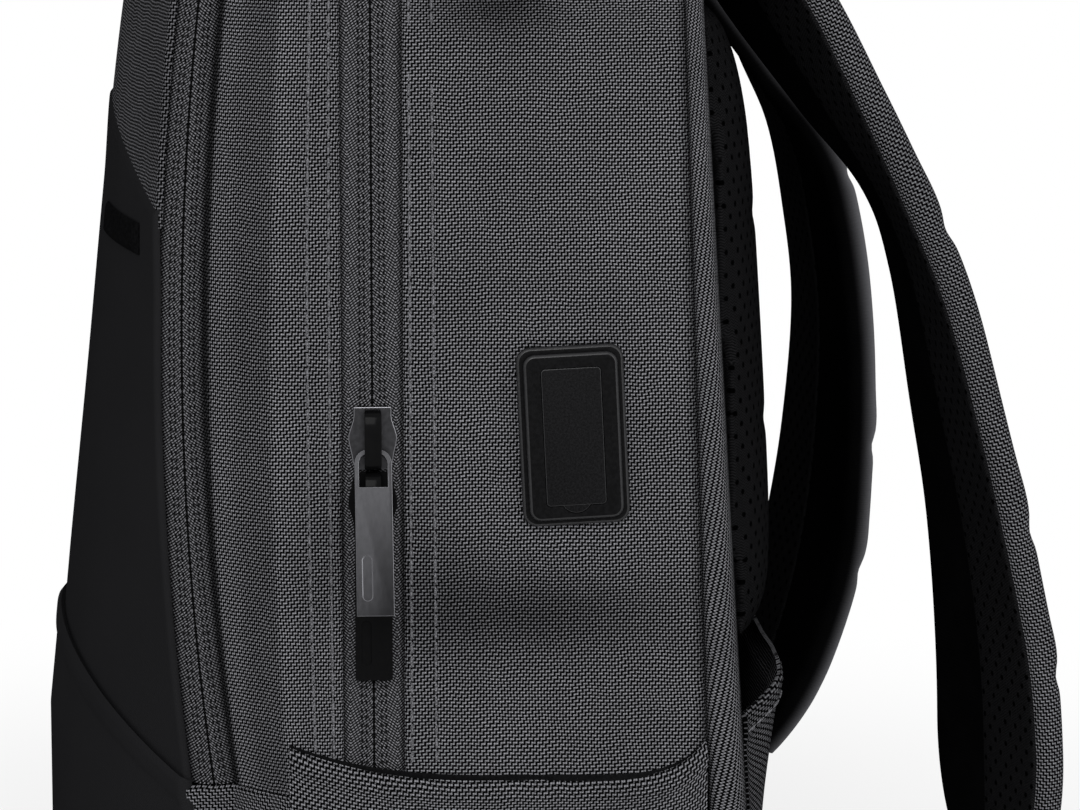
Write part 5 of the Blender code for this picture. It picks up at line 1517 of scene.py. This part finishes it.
sleeve = lay_cloth("laptop_sleeve_cloth", (60, 60), laptop_sleeve, Vector((0.0, 0.3, 0.2)), SLEEVE_T,
                   outward=True)
fit(sleeve, lining_look, "rear_body", "lining", "laptop_sleeve")
bank = lay_cloth("power_bank_pocket_cloth", (40, 40), bank_pocket, Vector((0.4, 0.04, 0.13)), BANK_T,
                 outward=True)
fit(bank, lining_look, "rear_body", "lining", "power_bank_pocket")

# USB port: a moulded rubber plate with two rounded steps, clamped through the side from inside.
# A flush flap hinged at its top covers the socket, with a thumb lip in a crescent at its foot.
USB_FACE = 0.0053
USB_STEP = 0.0031
OUTER_STEP = (0.033, 0.0555, 0.0046, 8)
INNER_STEP = (0.0290, 0.0515, 0.0036, 8)
THROAT = (0.024, 0.046, 0.002)
SOCKET_HOLE = (0.0072, 0.0147, 0.001)
STEP_ROUND = 0.0013
FLAP = (0.0183, 0.0424, 0.0022)
FLAP_PLAY = 0.0004
FLAP_FLOOR = USB_FACE - FLAP[2] - CLEAR
ABOVE_FACE = USB_FACE + 0.002
LIP_RADIUS = 0.00496
LIP_Z = -0.0186


def crescent(radius):
    """Round-bottomed outline that reaches below the flap's foot."""
    return [(radius * cos(a * pi / 24), LIP_Z + radius * sin(a * pi / 24)) for a in range(48)]


rubber = grained_look("moulded_rubber", 0.45, (900.0, 3.0), 0.0035, 0.0060, (2400.0, 3.0, 0.00006, 0.55),
                      True, specular=0.03)
plastic = grained_look("black_moulded_plastic", 0.4, (600.0, 3.0), 0.004, 0.008, (1800.0, 2.0, 0.00005, 0.4),
                       True, specular=0.06)
flap_look = grained_look("grained_flap", 0.5, (1500.0, 2.0), 0.0045, 0.0090, (1900.0, 2.0, 0.00016, 0.75),
                         True, specular=0.03)
# Painted highlight: a paler, glossier look for the rounded ridges of the steps and the flap's rim.
ridge_highlight_look = grained_look("rim_highlight_rubber_ridge", 0.35, (900.0, 3.0), 0.010, 0.024, specular=0.25)
steel, tree, shader = new_look("socket_steel", 0.28, metallic=1.0)
tint(shader, speckle(tree, 400.0, 3.0), (0.42, 0.42, 0.43), (0.58, 0.58, 0.60))

bezel = finish_mesh("usb_bezel_moulded", plate(rounded_rect(*OUTER_STEP), CLEAR, USB_STEP, STEP_ROUND, 5))
recess = rounded_rect(FLAP[0] + FLAP_PLAY, FLAP[1] + FLAP_PLAY, 0.0014)
carve(bezel, [plate(recess, FLAP_FLOOR, ABOVE_FACE, 0.0),
              plate(crescent(LIP_RADIUS + 0.0002), FLAP_FLOOR + 0.0006, ABOVE_FACE, 0.0),
              plate(rounded_rect(*SOCKET_HOLE), -0.012, FLAP_FLOOR + 0.001, 0.0)],
      joins=[plate(rounded_rect(*INNER_STEP), CLEAR + 0.0010, USB_FACE, STEP_ROUND, 5),
             plate(rounded_rect(*THROAT), -0.010, CLEAR + 0.0014, 0.0)])
bezel.data.transform(USB_PLACE)
bezel.data.set_sharp_from_angle(angle=radians(30))
bezel.data.materials.clear()
# Painted highlight: the steps' sloping bevels take the paler ridge look.
for face in bezel.data.polygons:
    face.use_smooth = True
    face.material_index = 1 if 0.2 < face.normal.x < 0.93 else 0
fit(bezel, (rubber, ridge_highlight_look), "rear_body", "socket_rubber", "usb_bezel")

flap_bm = plate(rounded_rect(FLAP[0], FLAP[1], 0.0012), USB_FACE - FLAP[2], USB_FACE, 0.00022, 2, 0, 1)
lip_outline = [spot for spot in crescent(LIP_RADIUS) if spot[1] < -FLAP[1] / 2 + 0.0010]
add_part(flap_bm, plate(lip_outline, USB_FACE - 0.0012, USB_FACE - 0.0001, 0.0002, 2, 0, 1))
bmesh.ops.transform(flap_bm, matrix=USB_PLACE, verts=flap_bm.verts)
fit(finish_mesh("usb_flap_moulded", flap_bm, 30.0), (flap_look, ridge_highlight_look), "usb_flap", "socket_rubber",
    "usb_flap")
for label in ("usb_clamp_plate", "usb_housing", "usb_socket_tongue"):
    dress_solid(label, plastic)
dress_solid("usb_socket_shell", steel)

# Haul handle: a loop of black webbing that narrows at both ends and pivots on two patches sewn to the top.
# Each patch is a square of webbing with a box of stitching and a cross.
HANDLE_Y = 0.042
HANDLE_HALF_SPAN = 0.050
HANDLE_RISE = 0.034
HANDLE_END = 0.0025
HANDLE_FOOT_Z = TOP_Z + 0.0021
HANDLE_HALF_WIDTH = 0.0125
HANDLE_BOW = 0.0016
HANDLE_T = 0.003
WEBBING_RIB = 0.0011
WEBBING_FOLD = 0.0022
PATCH = (0.022, 0.022, 0.0025)
PATCH_T = 0.0015
BOX_HALF = 0.0085
BOX_STITCH = (0.0026, 0.0022, 0.0006)

webbing_look, tree, shader = new_look("black_webbing", 0.8, specular=0.01)
u, v = cloth_lines(tree)
rib = ripple(v + calc("PINGPONG", u, WEBBING_FOLD), WEBBING_RIB)
rib = (rib + ripple(u, WEBBING_RIB) * 0.4).ramp(-1.2, 1.2)
uneven = speckle(tree, 1200.0, 2.0).ramp(0.3, 0.7, 0.7, 1.0)
tint(shader, rib * uneven, grey(0.002), grey(0.020))
emboss(shader, rib, 0.0003, 0.7)

patch_bm = bmesh.new()
sew_bm = bmesh.new()
up = Vector((0.0, 0.0, 1.0))
for side in (1, -1):
    foot = Vector((side * HANDLE_HALF_SPAN, HANDLE_Y, TOP_Z + CLEAR))
    add_part(patch_bm, plate(rounded_rect(*PATCH), 0.0, PATCH_T, 0.0005, 3),
             Matrix.Translation(foot) @ Matrix.Rotation(-pi / 2, 4, "Y"))
    corners = [(foot + Vector((a * BOX_HALF, b * BOX_HALF, PATCH_T)), up)
               for a, b in ((-1, -1), (1, -1), (1, 1), (-1, 1))]
    for first, last in ((0, 1), (1, 2), (2, 3), (3, 0), (0, 2), (1, 3)):
        sew(sew_bm, [corners[first], corners[last]], *BOX_STITCH)
layer = patch_bm.loops.layers.uv.new("cloth")
for face in patch_bm.faces:
    for corner in face.loops:
        corner[layer].uv = (corner.vert.co.x, corner.vert.co.y)
fit(finish_mesh("handle_patches_woven", patch_bm), webbing_look, "rear_body", "webbing", "right_handle_patch",
    "left_handle_patch")
fit(finish_mesh("handle_patch_stitching", sew_bm), black_thread, "rear_body", "webbing")


def haul_handle(u, v):
    a = u * pi
    rise = HANDLE_RISE * sin(a)
    if rise < HANDLE_END:
        half = sqrt(max(0.0, HANDLE_END ** 2 - (HANDLE_END - rise) ** 2))
    else:
        half = HANDLE_END + (HANDLE_HALF_WIDTH - HANDLE_END) * ease((rise - HANDLE_END) / 0.022)
    across = 2 * v - 1
    bow = HANDLE_BOW * (1.0 - across ** 2) * ease((rise - HANDLE_END) / 0.02) - HANDLE_BOW
    return Vector((HANDLE_HALF_SPAN * cos(a), HANDLE_Y + half * across, HANDLE_FOOT_Z + rise + bow))


handle = lay_cloth("haul_handle_webbing", (120, 16), haul_handle, Vector((0.0, HANDLE_Y, TOP_Z - 0.1)),
                   HANDLE_T, pattern=lambda u, v, spot: ((2 * v - 1) * HANDLE_HALF_WIDTH, spot[0]))
fit(handle, webbing_look, "haul_handle", "webbing", "haul_handle")

# Shoulder straps: a mesh face against the wearer and a padded shell outside it, of woven cloth on the outer
# face and the outer edge and of smooth black cloth on the inner edge. Foam fills the shell, and rows of
# stitching across it draw it in. Each hangs from a seam high on the back, the near one a little further out.
MEDIAL = ((0.034, 0.0003, 0.0), (0.038, 0.0035, 0.026), (0.045, 0.0115, 0.058), (0.052, 0.041, 0.099),
          (0.058, 0.063, 0.126), (0.060, 0.072, 0.152), (0.060, 0.079, 0.195), (0.060, 0.085, 0.234),
          (0.061, 0.0885, 0.282), (0.062, 0.0895, 0.335))
LATERAL = ((0.098, 0.0003, 0.0), (0.108, 0.0125, 0.026), (0.118, 0.038, 0.060), (0.122, 0.056, 0.096),
           (0.128, 0.068, 0.124), (0.130, 0.080, 0.152), (0.132, 0.0905, 0.187), (0.133, 0.1030, 0.238),
           (0.134, 0.1110, 0.281), (0.133, 0.1140, 0.333))
FAR_MEDIAL = MEDIAL[:6] + ((0.060, 0.0775, 0.195), (0.061, 0.0780, 0.240), (0.062, 0.0750, 0.275),
                           (0.063, 0.0650, 0.308), (0.064, 0.0505, 0.336))
FAR_LATERAL = LATERAL[:1] + ((0.108, 0.0095, 0.026), (0.118, 0.0300, 0.060), (0.122, 0.0440, 0.096),
                             (0.126, 0.0545, 0.121), (0.128, 0.0605, 0.151), (0.130, 0.0645, 0.187),
                             (0.130, 0.0610, 0.233), (0.128, 0.0540, 0.273), (0.124, 0.0465, 0.306),
                             (0.119, 0.0375, 0.335))
PINCH_DROPS = (0.136, 0.228, 0.275)
PINCH = 0.22
PINCH_SWELL = 0.10
STRAP_TOP_Z = 0.398
STRAP_T = 0.0112
STRAP_FOOT = 0.93
FOOT_TAPER = 0.78
FOOT_RUN = 0.0075
STRAP_THREAD = 0.0010
LINER_T = 0.0008

STRAP_WEAVE = weave_look("strap_ballistic_weave", WEAVE_DARK, 0.275)


def strap_black(name, edge):
    """Smooth black cloth with a painted highlight, paler round the strap's inner edge, from a distance round
    the section.
    """
    made, tree, shader = new_look(name, 0.6, specular=0.0)
    u, v = cloth_lines(tree)
    fine = ripple(v, STRAP_THREAD)
    cloud = speckle(tree, 60.0, 3.0).ramp(0.3, 0.7, 0.007, 0.012)
    # Painted highlight along the rounded inner edge, palest where it meets the outer face.
    turned = u.ramp(edge + 0.0005, edge + 0.0105, 0.85, 0.0)
    share = fine * 0.002 + (cloud + turned)
    tint(shader, share, grey(0.0008), grey(0.17))
    emboss(shader, fine, 0.00005, 0.5)
    return made


def spline(points, t):
    """Smooth curve through points, for t from 0 to 1."""
    count = len(points) - 1
    at = min(max(t, 0.0), 1.0) * count
    i = min(int(at), count - 1)
    f = at - i
    p1, p2 = points[i], points[i + 1]
    p0 = points[i - 1] if i > 0 else p1 * 2 - p2
    p3 = points[i + 2] if i + 2 <= count else p2 * 2 - p1
    return 0.5 * (2 * p1 + (p2 - p0) * f + (2 * p0 - 5 * p1 + 4 * p2 - p3) * f * f
                  + (3 * p1 - p0 - 3 * p2 + p3) * f ** 3)


def strap_frame(inner, outer, t):
    """Middle of the mesh face, its width, and the directions along, across and out of the strap."""
    low = max(0.0, t - 0.01)
    high = min(1.0, t + 0.01)
    ahead = (spline(inner, high) + spline(outer, high)) / 2
    behind = (spline(inner, low) + spline(outer, low)) / 2
    a, b = spline(inner, t), spline(outer, t)
    across = (b - a).normalized()
    along = ahead - behind
    along = (along - across * along.dot(across)).normalized()
    out = across.cross(along).normalized()
    if out.y < 0:
        out = -out
    foot = max(0.0, (t - STRAP_FOOT) / (1.0 - STRAP_FOOT))
    return (a + b) / 2, (b - a).length * sqrt(1.0 - (FOOT_TAPER * foot) ** 2), along, across, out


def foot_run(t):
    """How far the strap's rounded foot reaches past the end of its line, to cover the lock's tab."""
    return FOOT_RUN * max(0.0, (t - STRAP_FOOT) / (1.0 - STRAP_FOOT))


def wrap(name, cells, place, look_of=None):
    """Closed padded body: a grid wrapped round a line of sections, with both ends filled."""
    bm = cloth_grid(cells, place, (0.0, 0.5), look_of=look_of)
    bmesh.ops.remove_doubles(bm, verts=bm.verts, dist=0.00001)
    bmesh.ops.holes_fill(bm, edges=[e for e in bm.edges if e.is_boundary])
    bmesh.ops.recalc_face_normals(bm, faces=bm.faces)
    if bm.calc_volume(signed=True) < 0:
        bmesh.ops.reverse_faces(bm, faces=bm.faces)
    return finish_mesh(name, bm, 60.0)


def round_section(share, half_width, half):
    """Place across and out of a strap's section: outer face, inner edge, mesh face, then the outer edge."""
    flat = half_width - half
    lap = (share % 1.0) * 4.0
    if lap < 1.0:
        return flat * (1.0 - 2.0 * lap), half
    if lap < 2.0:
        return -flat - half * sin((lap - 1.0) * pi), half * cos((lap - 1.0) * pi)
    if lap < 3.0:
        return flat * (2.0 * lap - 5.0), -half
    return flat + half * sin((lap - 3.0) * pi), -half * cos((lap - 3.0) * pi)


def strap_cushion(inner, outer):
    """The padded shell, a little crowned, with slack over its outer face and seams that draw it in."""
    def place(u, v):
        middle, width, along, across, out = strap_frame(inner, outer, v)
        half = (STRAP_T - LINER_T) / 2
        w, n = round_section(u, width / 2, half)
        drop = STRAP_TOP_Z - middle.z
        share = w / (width / 2)
        if n > 0:
            for seam in PINCH_DROPS:
                n *= 1.0 - PINCH * exp(-((drop - seam) / 0.0035) ** 2)
                n *= 1.0 + PINCH_SWELL * exp(-((drop - seam + 0.010) / 0.007) ** 2)
            swell = noise.noise(Vector((middle.x * 5.0, share * 1.5, drop * 38.0)))
            n += 0.0007 * swell * (1.0 - abs(share) ** 6)
        return middle + along * foot_run(v) + across * w + out * (LINER_T + half + n)
    return place


def strap_mesh(inner, outer):
    """The mesh layer on the outer half of the strap's face, with its edges turned under."""
    def place(u, v):
        at = 0.004 + 0.992 * v
        middle, width, along, across, out = strap_frame(inner, outer, at)
        reach = width / 2 - STRAP_T / 2 + 0.0022
        w, n = round_section(u, reach / 2, 0.0009)
        return middle + along * foot_run(at) + across * (reach / 2 + w) + out * (0.0009 + n)
    return place


straps = []
for label, side, medial, lateral in (("right", 1, MEDIAL, LATERAL), ("left", -1, FAR_MEDIAL, FAR_LATERAL)):
    seam = rear_y(STRAP_TOP_Z)
    inner, outer = [[Vector((side * x, seam + off, STRAP_TOP_Z - drop)) for x, off, drop in line]
                    for line in (medial, lateral)]
    liner = wrap(label + "_strap_liner_mesh", (32, 150), strap_mesh(inner, outer))
    fit(liner, mesh_look, "rear_body", "black_mesh", label + "_strap_liner")
    pad = wrap(label + "_strap_pad_cushion", (64, 190), strap_cushion(inner, outer),
               lambda share: 1 if 0.25 < share < 0.75 else 0)
    edge = strap_frame(inner, outer, 0.5)[1] - STRAP_T + LINER_T
    fit(pad, (STRAP_WEAVE, strap_black(label + "_smooth_strap_cloth", edge)), "rear_body", "grey_weave",
        label + "_strap_pad")
    straps.append((label, side, strap_frame(inner, outer, 1.0)))

# Ladder locks: three-bar plastic buckles, each hung in a loop of webbing sewn into the foot of its strap.
# The adjusting webbing comes from a wing sewn at the foot of the back, round the middle bar and out again.
LOCK_T = 0.0030
LOCK_BAR = 0.0030
LOCK_SLOT = 0.0062
LOCK_WIDTH = 0.034
SLOT_WIDTH = 0.027
LOCK_DROP = 0.0110
WEBBING_T = 0.0014
WEBBING_WIDTH = 0.025
WEBBING_SAG = 0.016
TAIL_LENGTH = 0.010
WING_WIDTH = 0.046
WING_Z = 0.040
lock_bend = sqrt(LOCK_T ** 2 + LOCK_BAR ** 2) / 2 + CLEAR
lock_length = 3 * LOCK_BAR + 2 * LOCK_SLOT


def webbing_loop(start, bar, sign, end):
    """Points of a loop round one bar, from behind it to in front of it, in the lock's frame."""
    points = [Vector((start + (bar - start) * k / 6, 0.0, -lock_bend)) for k in range(6)]
    for k in range(13):
        a = k / 12 * pi
        points.append(Vector((bar + sign * lock_bend * sin(a), 0.0, -lock_bend * cos(a))))
    points += [Vector((bar + (end - bar) * k / 10, 0.0, lock_bend)) for k in range(1, 11)]
    return points


def lay_webbing(name, points, place, body, node):
    """Webbing of even width along points in the lock's frame."""
    def lay(u, v):
        point = pick(points, v).copy()
        point.y = WEBBING_WIDTH * (u - 0.5)
        return place @ point
    inside = place @ ((points[3] + points[-4]) / 2)
    made = lay_cloth(name, (10, len(points) - 1), lay, inside, WEBBING_T, outward=True)
    return fit(made, webbing_look, body, "webbing", node)


def lay_ribbon(name, route, turn, width_of, lift, cells, span, look, slot, node):
    """Flat ribbon along a span of a smooth route, turning from one direction across it to another."""
    def station(t):
        ahead = spline(route, min(1.0, t + 0.01))
        behind = spline(route, max(0.0, t - 0.01))
        across = (turn[0] * (1.0 - t) + turn[1] * t).normalized()
        out = across.cross(ahead - behind).normalized()
        return spline(route, t), across, out if out.z > 0 else -out

    def place(u, v):
        here, across, out = station(span[0] + (span[1] - span[0]) * v)
        return here + across * (width_of(v) * (u - 0.5)) + out * (lift * (1.0 - v))
    here, across, out = station((span[0] + span[1]) / 2)
    made = lay_cloth(name, cells, place, here - out, WEBBING_T, outward=True)
    return fit(made, look, "rear_body", slot, node)


for label, side, (end, _, along, across, out) in straps:
    frame_across = across.copy()
    if along.cross(across).dot(out) < 0:
        across = -across
    turn = Matrix((along, across, out)).transposed().to_4x4()
    lock_place = Matrix.Translation(end) @ turn @ Matrix.Translation((LOCK_DROP, 0.0, STRAP_T / 2))
    body = [(y, z + lock_length / 2 - LOCK_BAR / 2) for y, z in rounded_rect(LOCK_WIDTH, lock_length, 0.003)]
    buckle = finish_mesh(label + "_ladder_lock_moulded", plate(body, -LOCK_T / 2, LOCK_T / 2, 0.0), 40.0)
    slots = []
    for k in range(2):
        middle = LOCK_BAR / 2 + LOCK_SLOT / 2 + k * (LOCK_BAR + LOCK_SLOT)
        slots.append(plate([(y, z + middle) for y, z in rounded_rect(SLOT_WIDTH, LOCK_SLOT, 0.0012)],
                           -LOCK_T, LOCK_T, 0.0))
    carve(buckle, slots, 0.0006, 3)
    buckle.data.transform(lock_place @ Matrix.Rotation(pi / 2, 4, "Y"))
    for face in buckle.data.polygons:
        face.use_smooth = True
    buckle.data.set_sharp_from_angle(angle=radians(40))
    buckle.data.materials.clear()
    fit(buckle, plastic, label + "_lock", "black_plastic", label + "_ladder_lock")

    lay_webbing(label + "_lock_tab_webbing", webbing_loop(CLEAR - LOCK_DROP, 0.0, 1.0, CLEAR - LOCK_DROP),
                lock_place, "rear_body", label + "_lock_tab")
    foot = lock_length + 0.001
    lay_webbing(label + "_tail_webbing", webbing_loop(foot, LOCK_BAR + LOCK_SLOT, -1.0, foot + TAIL_LENGTH),
                lock_place, label + "_lock", label + "_webbing_tail")
    start = lock_place @ Vector((foot + 2 * CLEAR, 0.0, -lock_bend - WEBBING_T))
    sewn = Vector((side * (HALF_WIDTH - WING_WIDTH / 2 - 0.002), rear_y(WING_Z) + 2 * CLEAR, WING_Z))
    route = [sewn, sewn.lerp(start, 0.25), sewn.lerp(start, 0.62), start + along * 0.012, start]
    sag = min(start.z, WING_Z) - WEBBING_SAG
    for k, part in ((1, 0.55), (2, 0.95), (3, 0.75)):
        route[k].z += (sag - route[k].z) * part
    lay_ribbon(label + "_strap_wing_cloth", route, (Vector((side, 0.0, 0.0)), frame_across),
               lambda v: WING_WIDTH + (WEBBING_WIDTH - WING_WIDTH) * v, 0.0, (20, 24), (0.0, 0.26), WEAVE,
               "grey_weave", label + "_strap_wing")
    lay_ribbon(label + "_adjust_webbing_woven", route, (Vector((side, 0.0, 0.0)), frame_across),
               lambda v: WEBBING_WIDTH, WEBBING_T + 2 * CLEAR, (10, 70), (0.10, 1.0), webbing_look,
               "webbing", label + "_adjust_webbing")
